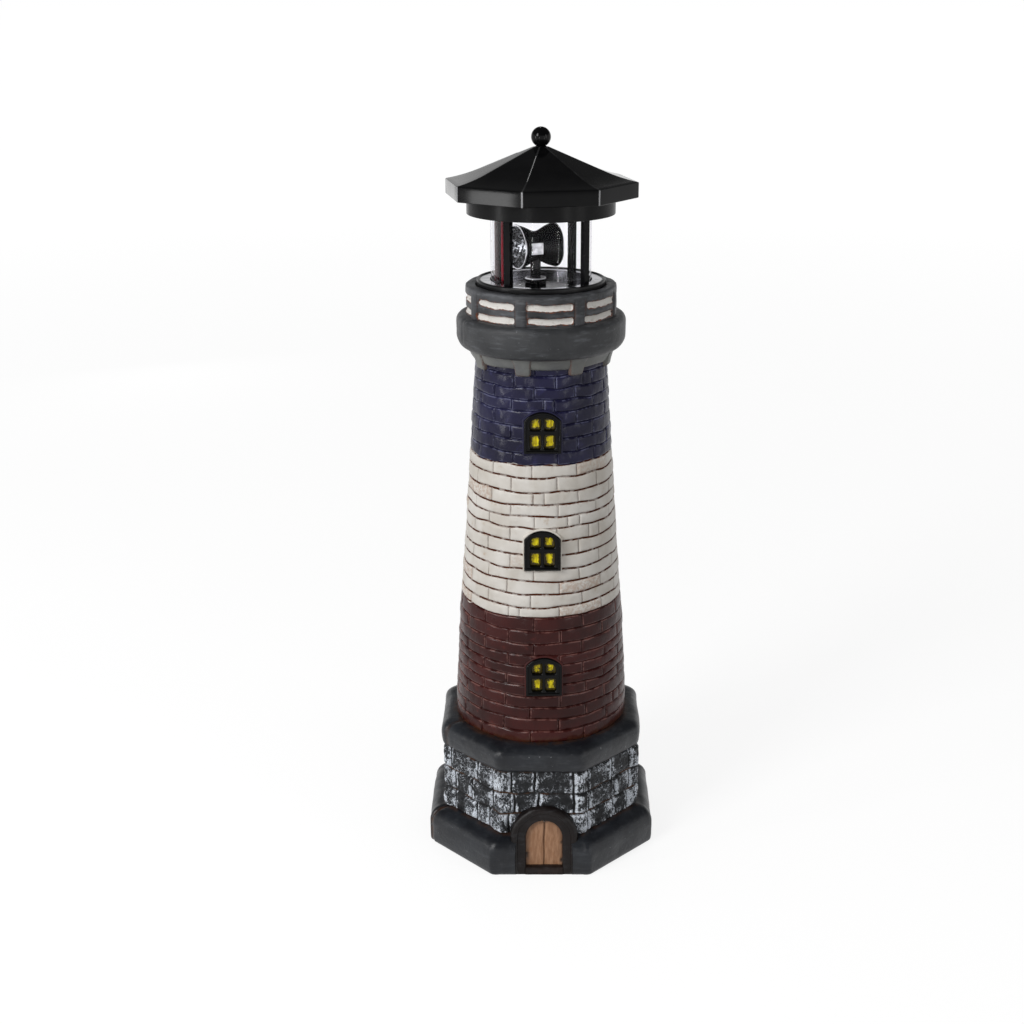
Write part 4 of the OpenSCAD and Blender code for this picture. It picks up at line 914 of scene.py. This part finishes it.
doorway = {
    "halfWidth": 17.6, "centre": 20.3, "lean": 8.0, "front": -60.0, "openHalf": 9.45,
    "step": 4.6, "sink": 4.2,
    # across the arch: how far in from its outer edge, and how far out from the leaning face
    "section": [(0.0, -12.0), (0.0, -1.9), (0.3, -1.1), (1.0, -0.4), (2.0, 0.0), (3.1, -0.1), (3.6, -0.45),
                (3.85, -1.1), (4.4, -1.25), (5.9, -1.2), (7.1, -1.3), (7.75, -1.6), (8.1, -2.3), (8.15, -4.6),
                (8.15, -12.0)],
    # the step: how far out and how far up
    "stepOutline": [(-6.2, -0.2), (-1.5, -0.2), (-1.1, 0.2), (-1.2, 3.7), (-1.6, 4.4), (-2.3, 4.6),
                    (-6.2, 4.5)],
}


def onDoorFace(points):
    # x across, up the leaning face, out of it, turned into the frame's axes
    x, up, out = np.moveaxis(np.asarray(points, float), -1, 0)
    lean = math.radians(doorway["lean"])
    return np.stack([x + foot["doorAt"], doorway["front"] + up * math.sin(lean) - out * math.cos(lean),
                     up * math.cos(lean) + out * math.sin(lean)], -1)


def doorArch():
    d = doorway
    # each station: the way outward, and the height that its reach is measured from
    stations = [(-1, 0, h) for h in np.linspace(-0.4, d["centre"], 12)[:-1]]
    stations += [(math.cos(t), math.sin(t), d["centre"]) for t in np.radians(np.linspace(180, 0, 37))]
    stations += [(1, 0, h) for h in np.linspace(d["centre"], -0.4, 12)[1:]]
    rings = np.array([[(x * (d["halfWidth"] - inset), height + z * (d["halfWidth"] - inset), out)
                       for inset, out in d["section"]] for x, z, height in stations])
    rings[..., 2] += 0.16 * smoothNoise(rings, 6, 90) * (rings[..., 2] > -6)
    rings[..., :2] += 0.12 * np.stack([smoothNoise(rings, 4, 91), smoothNoise(rings, 4, 92)], -1)
    world = onDoorFace(rings)
    world[..., 2] = np.maximum(world[..., 2], 0.02)
    underside = np.maximum(2.6 - world[..., 2], 0) ** 2  # the arch draws in where it meets the ground
    world[..., 1] = np.maximum(world[..., 1], 0.22 * underside - limit)
    world[..., 0] -= (world[..., 0] - foot["doorAt"]) * 0.006 * underside
    castPiece("doorArch", world, "doorFrame", {"wash": 0.0, "edge": 0.0}, closed=False, sharpAngle=45)


def doorLeaves():
    d = doorway
    half = d["openHalf"]
    oneSide = np.linspace(0.45, half + 0.4, 15)
    columns = np.concatenate([-oneSide[::-1], [-0.22, 0, 0.22], oneSide])
    x, up = np.meshgrid(columns, np.linspace(d["step"] - 0.6, d["centre"] + half + 0.4, 34))
    at = np.stack([x, up, 0 * x], -1)
    middle = np.exp(-((x + 0.3 * smoothNoise(at * [0, 1, 0], 4, 99)) / 0.3) ** 2)
    inHead = half - np.hypot(x, np.maximum(up - d["centre"], 0))
    rim = np.exp(-np.maximum(inHead, 0) / 0.5) * (inHead < 1.6)
    border = np.minimum(inHead, half - np.abs(x))
    chip = smoothStep(0.3, 0.6, smoothNoise(at, 2.0, 95)) * np.exp(-(border / 1.2) ** 2)
    crack = np.clip(middle * (0.65 + 0.35 * smoothNoise(at, 2, 96)) + 0.5 * rim + chip, 0, 1)
    grain = smoothNoise(at * [1, 0.15, 1], 1.0, 97)
    out = -d["sink"] + 0.14 * grain + 0.2 * smoothNoise(at, 7, 98) - 0.7 * middle - 0.5 * chip
    front, back = np.stack([x, up, out], -1), np.stack([x, up, 0 * x - d["sink"] - 2.4], -1)
    points, faces, _ = slabMesh(onDoorFace(front), onDoorFace(back), np.full(x.shape, True))
    meshPiece("doorLeaves", points, faces, "tower", paints["door"], "painted_resin",
              values={"crack": np.concatenate([crack.ravel(), np.ones(x.size)])})


def doorStep():
    d = doorway
    outline = softened(d["stepOutline"], 1)
    rings = np.array([[(x, up, out) for out, up in outline]
                      for x in np.linspace(-d["openHalf"] - 0.3, d["openHalf"] + 0.3, 25)])
    rings[..., 1:] += 0.14 * np.stack([smoothNoise(rings, 3, 100), smoothNoise(rings, 3, 101)], -1)
    world = onDoorFace(rings)
    world[..., 2] = np.maximum(world[..., 2], 0.02)
    world[..., 1] = np.maximum(world[..., 1], -limit)
    castPiece("doorStep", world, "doorFrame", {"wash": 0.35, "edge": 0.0}, closed=False)


doorArch()
doorLeaves()
doorStep()
print("door made")


# Windows

def archOutline(width, height, rise, steps=14):
    headRadius = (width * width / 4 + rise * rise) / (2 * rise)
    sweep = math.asin(min(1, width / 2 / headRadius))
    head = [(headRadius * math.sin(t), height - headRadius + headRadius * math.cos(t))
            for t in np.linspace(sweep, -sweep, steps)]
    return [(-width / 2, 0.0), (width / 2, 0.0)] + head


def flatFrame(name, outlines, halfDepth, rounding, matrix, material):
    # an outline with holes, given depth and rounded edges, stood up by a matrix
    curve = bpy.data.curves.new(name, "CURVE")
    curve.dimensions = "2D"
    curve.fill_mode = "BOTH"
    curve.extrude = halfDepth * mm
    curve.bevel_depth = rounding * mm
    curve.bevel_resolution = 3
    curve.offset = -rounding * mm
    for outline in outlines:
        spline = curve.splines.new("POLY")
        spline.points.add(len(outline) - 1)
        for point, (x, y) in zip(spline.points, outline):
            point.co = (x * mm, y * mm, 0, 1)
        spline.use_cyclic_u = True
    holder = bpy.data.objects.new(name + "Curve", curve)
    bpy.context.scene.collection.objects.link(holder)
    mesh = bpy.data.meshes.new_from_object(holder.evaluated_get(bpy.context.evaluated_depsgraph_get()))
    bpy.data.objects.remove(holder)
    mesh.transform(matrix)
    showPiece(name, mesh, "tower", material, "painted_resin")


def roundedBox(x0, x1, z0, z1, radii):
    # an outline with rounded corners: lower left, lower right, upper right, upper left
    points = []
    for x, z, radius, start in zip((x0, x1, x1, x0), (z0, z0, z1, z1), radii, (180, 270, 0, 90)):
        cx = x + radius if x == x0 else x - radius
        cz = z + radius if z == z0 else z - radius
        points += [(cx + radius * math.cos(t), cz + radius * math.sin(t))
                   for t in np.radians(start + np.arange(0, 91, 22.5))]
    return points


def windowPlace(i):
    # the matrix that stands a flat window up on the brick face
    turn, sill = math.radians(windows["turns"][i]), windows["sills"][i]
    lean = math.atan(cone["slope"])
    return (Matrix.Rotation(turn, 4, "Z") @ Matrix.Translation((0, -coneRadius(sill) * mm, sill * mm))
            @ Matrix.Rotation(math.pi / 2 - lean, 4, "X"))


def windowPieces(i):
    w = windows
    tag = w["names"][i].capitalize()
    left, right, post = w["side"] - w["width"] / 2, w["width"] / 2 - w["side"], w["post"] / 2
    barLow, barHigh = w["barHeight"] - w["bar"] / 2, w["barHeight"] + w["bar"] / 2
    sill, top, small, large = w["sill"], w["height"] - w["head"], w["corner"], w["archCorner"]
    lights = [(left, -post, sill, barLow), (post, right, sill, barLow),
              (left, -post, barHigh, top), (post, right, barHigh, top)]
    corners = [(small,) * 4, (small,) * 4, (small, small, small, large), (small, small, large, small)]
    place = windowPlace(i)

    def standing(out, up=0.0):
        return place @ Matrix.Translation((0, up * mm, out * mm))

    outline = archOutline(w["width"], w["height"], w["rise"])
    depth = w["sunk"] + w["proud"]
    holes = [roundedBox(*light, radii)[::-1] for light, radii in zip(lights, corners)]
    flatFrame("windowFrame" + tag, [outline] + holes, depth / 2 - w["edge"], w["edge"],
              standing(w["proud"] - depth / 2), paints["windowBlack"])
    bead = [(x, z + w["bead"] / 2) for x, z in
            archOutline(w["width"] - w["bead"], w["height"] - w["bead"], w["rise"] - 0.5)]
    flatFrame("windowBead" + tag, [outline, bead[::-1]], 0.25, 0.55, standing(w["proud"] - 0.2),
              paints["windowBlack"])
    bedOutline = archOutline(w["width"] + w["bed"], w["height"] + w["bed"], w["rise"] + 0.3)
    bedHole = roundedBox(left - 0.6, right + 0.6, sill + 0.2, top + 0.6, (2.0,) * 4)
    flatFrame("windowBed" + tag, [bedOutline, bedHole[::-1]], 1.5, 0.4, standing(-1.3, -0.6), bedPaints[i])

    # the poured pane, ribbed and uneven, in its rebate behind the bars
    x, z = np.meshgrid(np.linspace(-7.6, 7.6, 33), np.linspace(1.4, 19.2, 37))
    rebate = w["rebate"]
    inside = insideArch(x, z - rebate, w["width"] - 2 * rebate, w["height"] - 2 * rebate, w["rise"])
    x = np.where(inside < 0, x * 0.97, x)
    at = np.stack([x, z, 0 * x + 50 * i], -1)
    ribs = np.cos(x * 2 * math.pi / w["ribs"] + 1.5 * smoothNoise(at, 4, 110))
    out = -0.95 + 0.6 * (0.22 * ribs + 0.2 * smoothNoise(at, 1.7, 111))
    rim = np.zeros_like(x)
    for x0, x1, z0, z1 in lights:
        margin = np.minimum(np.minimum(x - x0, x1 - x), np.minimum(z - z0, z1 - z))
        rim = np.maximum(rim, np.where(margin > -0.6, 1 - smoothStep(-0.1, 1.9, margin) + w["grime"][i], 0))
    front, back = np.stack([x, z, out], -1), np.stack([x, z, 0 * x - 2.78], -1)
    points, faces, used = slabMesh(front, back, inside > -0.45)
    points = np.array([place @ Vector(tuple(point * mm)) for point in points]) / mm
    meshPiece("windowPane" + tag, points, faces, "tower", paints["pane"], "yellow_pane",
              values={"rim": np.concatenate([rim.ravel(), np.ones(x.size)])[used]},
              stands=["window_pane_" + w["names"][i]])


bedPaints = [glossPaint("redBrownEnamelSill", "#3b1b1a", "#4b2422", 0.4),
             glossPaint("offWhiteEnamelSill", "#d3cec6", "#b9b0a2", 0.55),
             glossPaint("navyEnamelSill", "#1d1c33", "#292845", 0.36)]
for i in range(3):
    windowPieces(i)
print("windows made")


# Lantern: plastics and metals

finishes = {
    "roof": glossPaint("absGlossBlackMoulded", "#060607", "#0a0a0b", 0.12, 0.012, 0.26, 6.0),
    # the roof shell's pale edge colour is a painted highlight on its rounded corners and ridges
    "roofShell": glossPaint("absGlossBlackPaintedEdgeHighlight", "#060607", "#0a0a0b", 0.12, 0.012, 0.21, 6.0,
                            edge="#a6a6a8"),
    "collar": glossPaint("absSatinBlackMoulded", "#0a0a0b", "#101011", 0.28, 0.05, 0.2, 2.5),
    "post": glossPaint("absBlackPost", "#08080a", "#0f0f10", 0.24, 0.02, 0.07),
    "ring": glossPaint("absBlackRing", "#0a0a0b", "#121213", 0.3, 0.06),
    "boss": glossPaint("absGlossBlackBoss", "#060607", "#0c0c0d", 0.12, 0.02, 0.12),
    "cover": glossPaint("polypropyleneMattBlack", "#101011", "#19191a", 0.6, 0.08),
    "cup": glossPaint("absMattBlackHousing", "#0e0e0f", "#171718", 0.5, 0.06),
    "tray": trayFinish(),
    "bright": metalFinish("vacuumPlatedRim", "#dcdcdf", "#f0f0f2", 0.26, 0.012, 5.0),
    # near-white paint for the bush rim: a painted highlight
    "turned": glossPaint("paintedHighlightOnTurnedRim", "#d6d6da", "#f0f0f2", 0.2, 0.01, 0.5),
    # the dish's near-black and near-white mottle is painted reflection of the crinkled plating
    "dish": metalFinish("crinkledVacuumPlating", "#09090b", "#ececef", 0.3, 0.1, 1.25, None, (0.52, 0.6)),
    "spool": glossPaint("darkMetallisedAbs", "#060607", "#101116", 0.08, 0.3, 0.3, 4.0),
    "nickel": metalFinish("nickelPlatedSteel", "#b3b2ae", "#cbcac6", 0.2, 0.01, 0.8),
    "steelCan": metalFinish("drawnSteelCan", "#9c9c9b", "#b6b6b5", 0.3, 0.012, 0.9, (1, 1, 0.15)),
    "stem": metalFinish("polishedSteelTube", "#2b2b2e", "#77777b", 0.14, 0.006, 0.7, (1, 1, 0.1)),
    "spindle": glossPaint("blackAcetalSpindle", "#070708", "#0d0d0f", 0.1, 0.02, 0.5),
    "block": metalFinish("platedLampBlock", "#a2a2a5", "#d6d6d8", 0.34, 0.1, 3.0),
    "nylon": glossPaint("mouldedNylonGear", "#d8d3c2", "#e6e2d4", 0.42, 0.03),
    "board": glossPaint("greenSolderMask", "#0e3b1c", "#165229", 0.32, 0.02, 0.3),
    "wrap": glossPaint("pvcShrinkSleeve", "#1c5f38", "#236f43", 0.25, 0.02, 0.3),
    "epoxy": glossPaint("clearEpoxyLamp", "#cfcbb4", "#e6e2cc", 0.1, 0.01, 0.8),
    "redPvc": glossPaint("redPvcInsulation", "#8e1126", "#a3152c", 0.3, 0.02),
    "blackPvc": glossPaint("blackPvcInsulation", "#0a0a0a", "#121212", 0.3, 0.02),
    "clear": clearStyrene("clearPolystyreneSleeve", "#fdfdfe", "#b9b4c6"),
    "lens": clearStyrene("clearPolystyreneLens", "#f6f7f8", "#c3c3ca", 0.3),
    "cell": solarGlass(),
}
finishNodes = {
    "cover": ["base_cover"], "collar": ["roof_collar"], "post": ["cage_posts"], "clear": ["clear_sleeve"],
    "tray": ["reflector_tray"], "ring": ["housing_ring"], "boss": ["drive_plate"], "steelCan": ["motor"],
    "board": ["circuit_board"], "wrap": ["battery"], "redPvc": ["wire_red"], "blackPvc": ["wire_black"],
    "block": ["lamp_window"], "stem": ["lamp_stem", "motor_shaft"], "epoxy": ["beacon_lamp", "window_lamp"],
    "lens": ["lens_left", "lens_right"], "spindle": ["bearing_bush", "beacon_spindle"],
    "nylon": ["beacon_gear", "motor_pinion"],
    "cup": ["motor_plate", "housing_cup", "switch_knob", "battery_door"],
    "nickel": ["contact_spring", "contact_plate", "switch_body", "post_screws", "drive_screws",
               "motor_screws", "board_screws", "cup_screws", "roof_screws", "door_screw"],
}
for finish, nodes in finishNodes.items():
    for node in nodes:
        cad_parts[node].data.materials.clear()
        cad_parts[node].data.materials.append(finishes[finish])
print("lantern materials set")


# Roof

roofShape = {
    "turn": -10.5, "cornerRadius": 47.55, "eaves": 342.62, "rim": 349.9, "wall": 1.7, "ridgeRound": 1.3,
    "knee": 0.66, "pitch": 23.6, "eavesPitch": 11.0, "flareSteps": 6, "apexRadius": 3.4,
}
finialShape = {
    "radius": 4.78, "height": 370.2,
    # the neck and the plug: radius and height
    "neck": [(2.2, 366.2), (2.45, 366.0), (3.1, 365.75), (3.1, 365.3), (1.7, 365.2), (1.7, 361.0),
             (0.3, 360.9)],
}
cellShape = {
    "sides": {"left": 3, "rear": 4, "right": 5}, "top": 12.0, "low": 28.0, "margin": 1.4,
    "rows": 41, "columns": 21, "proud": 0.28, "rimDrop": 0.25, "under": -0.85,
    "fingerEvery": 5, "busColumns": (5, 15),
}


def roofSlope():
    # half width at the eaves, then the flare's points down to up, and the height of the apex
    r = roofShape
    half = r["cornerRadius"] * math.cos(math.radians(22.5))
    run = (half - r["knee"] * half) / r["flareSteps"]
    slope = [(half, r["rim"])]
    for i in range(r["flareSteps"]):
        tilt = r["eavesPitch"] + (r["pitch"] - r["eavesPitch"]) * (i + 0.5) / r["flareSteps"]
        slope.append((slope[-1][0] - run, slope[-1][1] + run * math.tan(math.radians(tilt))))
    rise = (r["knee"] * half - r["apexRadius"]) * math.tan(math.radians(r["pitch"]))
    return half, slope, slope[-1][1] + rise


def roofShell():
    r = roofShape
    half, slope, apex = roofSlope()
    eaves, rim, wall, top = r["eaves"], r["rim"], r["wall"], r["apexRadius"]
    knee, kneeHeight = r["knee"] * half, slope[-1][1]
    pitch = math.tan(math.radians(r["pitch"]))
    outer = [(half - 0.25, eaves), (half, eaves + 0.25), (half, rim - 0.35), (half - 0.12, rim - 0.08),
             (half - 0.5, rim + 0.09)] + slope[1:]
    outer += [(knee * share, kneeHeight + knee * (1 - share) * pitch) for share in (0.8, 0.5)]
    outer += [(top + 0.5, apex - 0.22), (top, apex - 0.04), (top - 0.8, apex), (0.4, apex)]
    inner = [(0.4, apex - 1.9), (knee, kneeHeight - wall * 1.05), (slope[3][0], slope[3][1] - wall * 1.05),
             (half - wall - 0.6, rim - wall), (half - wall, rim - wall - 0.6), (half - wall, eaves)]
    columns = octagonColumns(5, 5, r["turn"] + 22.5)
    rings, _ = octagonRings(inner + outer, columns, r["ridgeRound"])
    onFascia = (rings[..., 2] < rim - 0.1) & (np.hypot(rings[..., 0], rings[..., 1]) > half - 0.5)
    # edge: where the painted highlight goes, strong on the fascia's rounded corners, faint on the ridges
    edge = np.where(columns[2] > 0, 1.0, 0.0)[None, :] * np.maximum(0.8 * onFascia, 0.05)
    ringPiece("roofShell", rings, "lantern", finishes["roofShell"], "black_gloss", closed=False,
              stands=["roof"], values={"edge": edge}, sharpAngle=30)


def finialBall():
    # a ball on a short neck with a flared foot
    radius, height = finialShape["radius"], finialShape["height"]
    profile = [(0.3, height + radius - 0.02)]
    profile += [(radius * math.sin(t), height + radius * math.cos(t))
                for t in np.radians(np.arange(8, 150, 6))]
    rings = turnedRings((profile + finialShape["neck"])[::-1], np.arange(0, 360, 7.5))
    ringPiece("finialBall", rings, "lantern", finishes["roof"], "black_gloss", closed=False,
              stands=["finial"])


def solarCells():
    # glazed plates on the rear faces, a little proud of the roof
    c = cellShape
    pitch, turn = math.radians(roofShape["pitch"]), roofShape["turn"] + 22.5
    peak = roofSlope()[2] + roofShape["apexRadius"] * math.tan(pitch)
    for side, k in c["sides"].items():
        place = (Matrix.Rotation(math.radians(turn + 45 * k), 4, "Z") @ Matrix.Translation((0, 0, peak * mm))
                 @ Matrix.Rotation(pitch, 4, "X"))
        row, column = np.meshgrid(np.arange(c["rows"]), np.arange(c["columns"]))
        down = c["top"] + (c["low"] - c["top"]) * row / (c["rows"] - 1)
        across = (2 * column / (c["columns"] - 1) - 1) * (down * halfSide - c["margin"])
        onRim = (row % (c["rows"] - 1) == 0) | (column % (c["columns"] - 1) == 0)
        front = np.stack([across, -down, c["proud"] - c["rimDrop"] * onRim], -1)
        finger = (row % c["fingerEvery"] == 2) | np.isin(column, c["busColumns"])
        points, faces, _ = slabMesh(front, front * [1, 1, 0] + [0, 0, c["under"]], np.full(row.shape, True))
        points = np.array([place @ Vector(tuple(point * mm)) for point in points]) / mm
        meshPiece("solarCell" + side.capitalize(), points, faces, "lantern", finishes["cell"], "solar_glass",
                  values={"finger": np.concatenate([finger.ravel(), np.zeros(row.size)])},
                  stands=["solar_cell_" + side])


roofShell()
finialBall()
solarCells()
print("roof made")


# Beacon

beaconShape = {
    "x": -2.7, "height": 318.4, "turn": -63.0, "throat": 3.7, "web": 2.4, "face": 9.2, "bowlSteps": 26,
    "mouth": 10.0, "rim": (10.46, 10.1), "rimThick": (0.42, 0.36),
    # half of the spool: radius and distance from its middle, out over the rolled rim and back in
    "spool": [(7.2, 0.0), (7.25, 0.9), (7.6, 2.2), (8.3, 3.8), (9.3, 5.8), (10.0, 7.6), (10.35, 8.8),
              (10.45, 9.2), (10.5, 9.5), (10.48, 9.8), (10.42, 9.95), (10.3, 10.0), (10.12, 9.9),
              (10.08, 9.0), (8.9, 7.0), (7.4, 4.4), (6.4, 2.4), (3.8, 2.3)],
}


def beaconRings(profile, side, count=96):
    # a turned profile of (radius, distance along the level axis) on one side of the spindle
    b = beaconShape
    turn = math.radians(b["turn"])
    forward = np.array([math.sin(turn), -math.cos(turn), 0]) * side
    across = np.array([math.cos(turn), math.sin(turn), 0]) * side
    a = np.radians(np.arange(count) * 360 / count)
    rings = []
    for radius, along in profile:
        ring = (forward[None, :] * along + radius * (np.cos(a)[:, None] * across[None, :]
                + np.sin(a)[:, None] * np.array([0, 0, 1.0])[None, :]))
        rings.append(ring + np.array([b["x"], 0, b["height"]]))
    return np.array(rings)


def beaconSpool():
    # the dark body, pinched in the middle, with rolled rims
    half = beaconShape["spool"]
    profile = [(radius, -along) for radius, along in half[::-1][:-1]] + half
    ringPiece("beaconSpool", beaconRings(softened(profile, 1), 1, 112), "beacon", finishes["spool"],
              "dark_plating", closed=False, stands=["beacon_shell"], sharpAngle=50)


def beaconDish(name, side):
    # a curved bowl, lightly dented; the light and dark mottle of its plating is painted reflection
    b = beaconShape
    throat, web, face, steps = b["throat"] ** 2, b["web"], b["face"], b["bowlSteps"]
    curve = (b["mouth"] ** 2 - throat) / (face - web)
    depths = [(face - web) * i / (steps - 1) for i in range(steps)]
    bowl = [(math.sqrt(throat + curve * depth) - 0.45, web + 0.1 + depth) for depth in depths]
    back = [(radius + 0.4, along - 0.02) for radius, along in bowl[::-1][::5]]
    profile = bowl + [(9.9, face + 0.25), (10.02, face + 0.25)] + back
    rings = beaconRings(profile, side, 120)
    inward = beaconRings([(0.0, along) for _, along in profile], side, 120) - rings
    inward /= np.maximum(np.linalg.norm(inward, axis=-1, keepdims=True), 1e-6)
    dents = np.maximum(lumps(rings, (0.12, 1.25, 120), (0.05, 0.7, 121)), -0.05)
    dents[[0, *range(steps - 1, len(rings))]] = 0
    rings += dents[..., None] * inward
    ringPiece("beaconDish" + name, rings, "beacon", finishes["dish"], "silver_plating",
              stands=["reflector_" + name.lower()], sharpAngle=25)


def beaconRim(name, side):
    # bright rolled rim round the lens
    (radius, along), (thick, deep) = beaconShape["rim"], beaconShape["rimThick"]
    rim = [(radius + thick * math.cos(t), along + deep * math.sin(t))
           for t in np.radians(np.arange(0, 360, 45))]
    rings = beaconRings(rim[::-1], side, 120)
    ringPiece("beaconRim" + name, rings, "beacon", finishes["bright"], "silver_plating")


bushRimSizes = {"radius": 4.85, "height": 302.66, "thick": 0.38}
ringLipOutline = [(29.95, 301.2), (31.7, 301.2), (31.76, 302.3), (31.6, 302.68), (31.1, 302.86),
                  (30.5, 302.82), (30.1, 302.62), (29.96, 302.35)]  # radius and height


def bushRim():
    # a near-white ring on the bush's turned rim: a painted highlight where the rim would catch the light
    radius, height, thick = bushRimSizes["radius"], bushRimSizes["height"], bushRimSizes["thick"]
    outline = [(radius + thick * math.cos(t), height + thick * math.sin(t))
               for t in np.radians(np.arange(0, 360, 45))]
    rings = turnedRings(outline, np.arange(0, 360, 5)) + np.array([beaconShape["x"], 0, 0])
    ringPiece("bushRim", rings, "lantern", finishes["turned"], "silver_plating")


def ringLip():
    # the housing ring's raised black lip, which hides the front of the tray's rim
    rings = turnedRings(ringLipOutline, np.arange(0, 360, 3))
    ringPiece("ringLip", rings, "lantern", finishes["ring"], "black_gloss")


beaconSpool()
for side, name in ((1, "Left"), (-1, "Right")):
    beaconDish(name, side)
    beaconRim(name, side)
bushRim()
ringLip()
print("beacon made")


# Floor, lights, camera

def seenOf(rays):
    # 1 where the camera looks, also in a mirror or through something clear
    mirrored = reckon("MAXIMUM", rays.outputs["Is Glossy Ray"], rays.outputs["Is Transmission Ray"])
    return reckon("MAXIMUM", rays.outputs["Is Camera Ray"], mirrored)


def floorMaterial():
    # matt white sweep: it takes the shadow, and the camera sees it as near white
    material, place = startMaterial("mattWhiteSweep")
    tree = material.node_tree
    rays = addNode(tree, "LightPath")
    seen = seenOf(rays)
    soft = paintNoise(place, 400, 1.0)
    tone = blendColours(soft, "#7d7d7d", "#808080")
    matt = addNode(tree, "BsdfDiffuse", None, {"Color": tone})
    far = addNode(tree, "VectorMath", {"operation": "LENGTH"}, {0: place}).outputs["Value"]
    ranges = {"From Min": 0.4, "From Max": 2.5, "To Min": 0.82, "To Max": 0.9}
    level = addNode(tree, "MapRange", ranges, {"Value": far})
    glow = addNode(tree, "Emission", {"Color": "#ffffff"}, {"Strength": level.outputs["Result"]})
    nothing = addNode(tree, "Emission", {"Color": "#000000", "Strength": 0.0})
    lit = addNode(tree, "MixShader", None, {0: seen, 1: nothing.outputs[0], 2: glow.outputs[0]})
    both = addNode(tree, "AddShader", None, {0: matt.outputs[0], 1: lit.outputs[0]})
    addNode(tree, "OutputMaterial", None, {"Surface": both.outputs[0]})
    return material


def floorPiece():
    # rings of points round the middle; a floor this wide has no edge in view
    radii, count = [400, 2500, 90000], 72
    points = [(0, 0, 0)]
    for radius in radii:
        for t in np.radians(np.arange(count) * 360 / count):
            points.append((radius * mm * math.sin(t), -radius * mm * math.cos(t), 0))
    faces = []
    for i in range(count):
        j = (i + 1) % count
        faces.append([0, 1 + i, 1 + j])
        for low in range(1, 1 + count * (len(radii) - 1), count):
            faces.append([low + i, low + count + i, low + count + j, low + j])
    mesh = bpy.data.meshes.new("floor")
    mesh.from_pydata(points, [], faces)
    mesh.materials.append(floorMaterial())
    floor = bpy.data.objects.new("floor", mesh)
    bpy.context.scene.collection.objects.link(floor)


# name, place and target in metres, size, power in watts
softboxes = [
    ("keySoftbox", (-0.85, -0.85, 0.85), (0, 0, 0.2), (0.4, 0.6), 10.4),
    ("fillSoftbox", (1.1, -0.6, 0.5), (0, 0, 0.2), (0.3, 0.8), 1.6),
    ("leftStrip", (-1.0, -0.45, 0.3), (0, 0, 0.33), (0.1, 0.5), 1.9),
    ("cornerStripLeft", (-0.36, -0.98, 0.24), (0, 0, 0.33), (0.03, 0.36), 0.5),
    ("cornerStripRight", (0.66, -0.8, 0.24), (0, 0, 0.33), (0.03, 0.36), 0.5),
    ("rimStrip", (-0.49, 1.1, 0.22), (0, 0, 0.346), (0.16, 0.3), 0.14),
    ("overheadStrip", (-0.07, 0.6, 1.12), (0, 0, 0.35), (0.05, 0.2), 0.3),
]
# a lens and its shift in pixels of the photo, as fitted to it; place in metres, degrees down from level
viewpoint = {"lens": 1459, "shift": -29, "picture": 1024, "sensor": 36,
             "place": (0, -0.716, 0.432), "down": 19.36}


def softbox(name, place, target, size, power):
    light = bpy.data.lights.new(name, "AREA")
    light.shape = "RECTANGLE"
    light.size, light.size_y = size
    light.energy = power
    holder = bpy.data.objects.new(name, light)
    holder.location = place
    holder.visible_camera = False
    holder.rotation_mode = "QUATERNION"
    holder.rotation_quaternion = (Vector(target) - Vector(place)).to_track_quat("-Z", "Y")
    bpy.context.scene.collection.objects.link(holder)


def studio():
    world = bpy.data.worlds.new("studio")
    world.use_nodes = True
    tree = world.node_tree
    tree.nodes.clear()
    rays = addNode(tree, "LightPath")
    seen = seenOf(rays)
    # what gloss mirrors is white at the horizon and dim overhead, like a studio's ceiling
    around = addNode(tree, "TexCoord").outputs["Generated"]
    up = addNode(tree, "SeparateXYZ", None, {"Vector": around}).outputs["Z"]
    ranges = {"interpolation_type": "SMOOTHSTEP", "From Min": 0.14, "From Max": 0.36, "To Min": 1.0,
              "To Max": 0.1}
    ceiling = addNode(tree, "MapRange", ranges, {"Value": up}).outputs["Result"]
    direct = reckon("MAXIMUM", rays.outputs["Is Camera Ray"], rays.outputs["Is Transmission Ray"])
    lighting = times(reckon("SUBTRACT", 1.0, seen), 0.5)
    strength = reckon("MAXIMUM", reckon("MAXIMUM", direct, lighting),
                      times(rays.outputs["Is Glossy Ray"], ceiling))
    shade = addNode(tree, "Background", {"Color": "#ffffff"}, {"Strength": strength})
    addNode(tree, "OutputWorld", None, {"Surface": shade.outputs[0]})
    bpy.context.scene.world = world
    for settings in softboxes:
        softbox(*settings)


def photoCamera():
    v = viewpoint
    camera = bpy.data.cameras.new("camera")
    camera.lens = v["lens"] / v["picture"] * v["sensor"]
    camera.sensor_width = v["sensor"]
    camera.shift_x = v["shift"] / v["picture"]
    holder = bpy.data.objects.new("camera", camera)
    holder.location = v["place"]
    holder.rotation_euler = (math.radians(90 - v["down"]), 0, 0)
    bpy.context.scene.collection.objects.link(holder)
    bpy.context.scene.camera = holder
    bpy.context.scene.view_settings.view_transform = "Standard"


floorPiece()
studio()
photoCamera()
print("stage set")
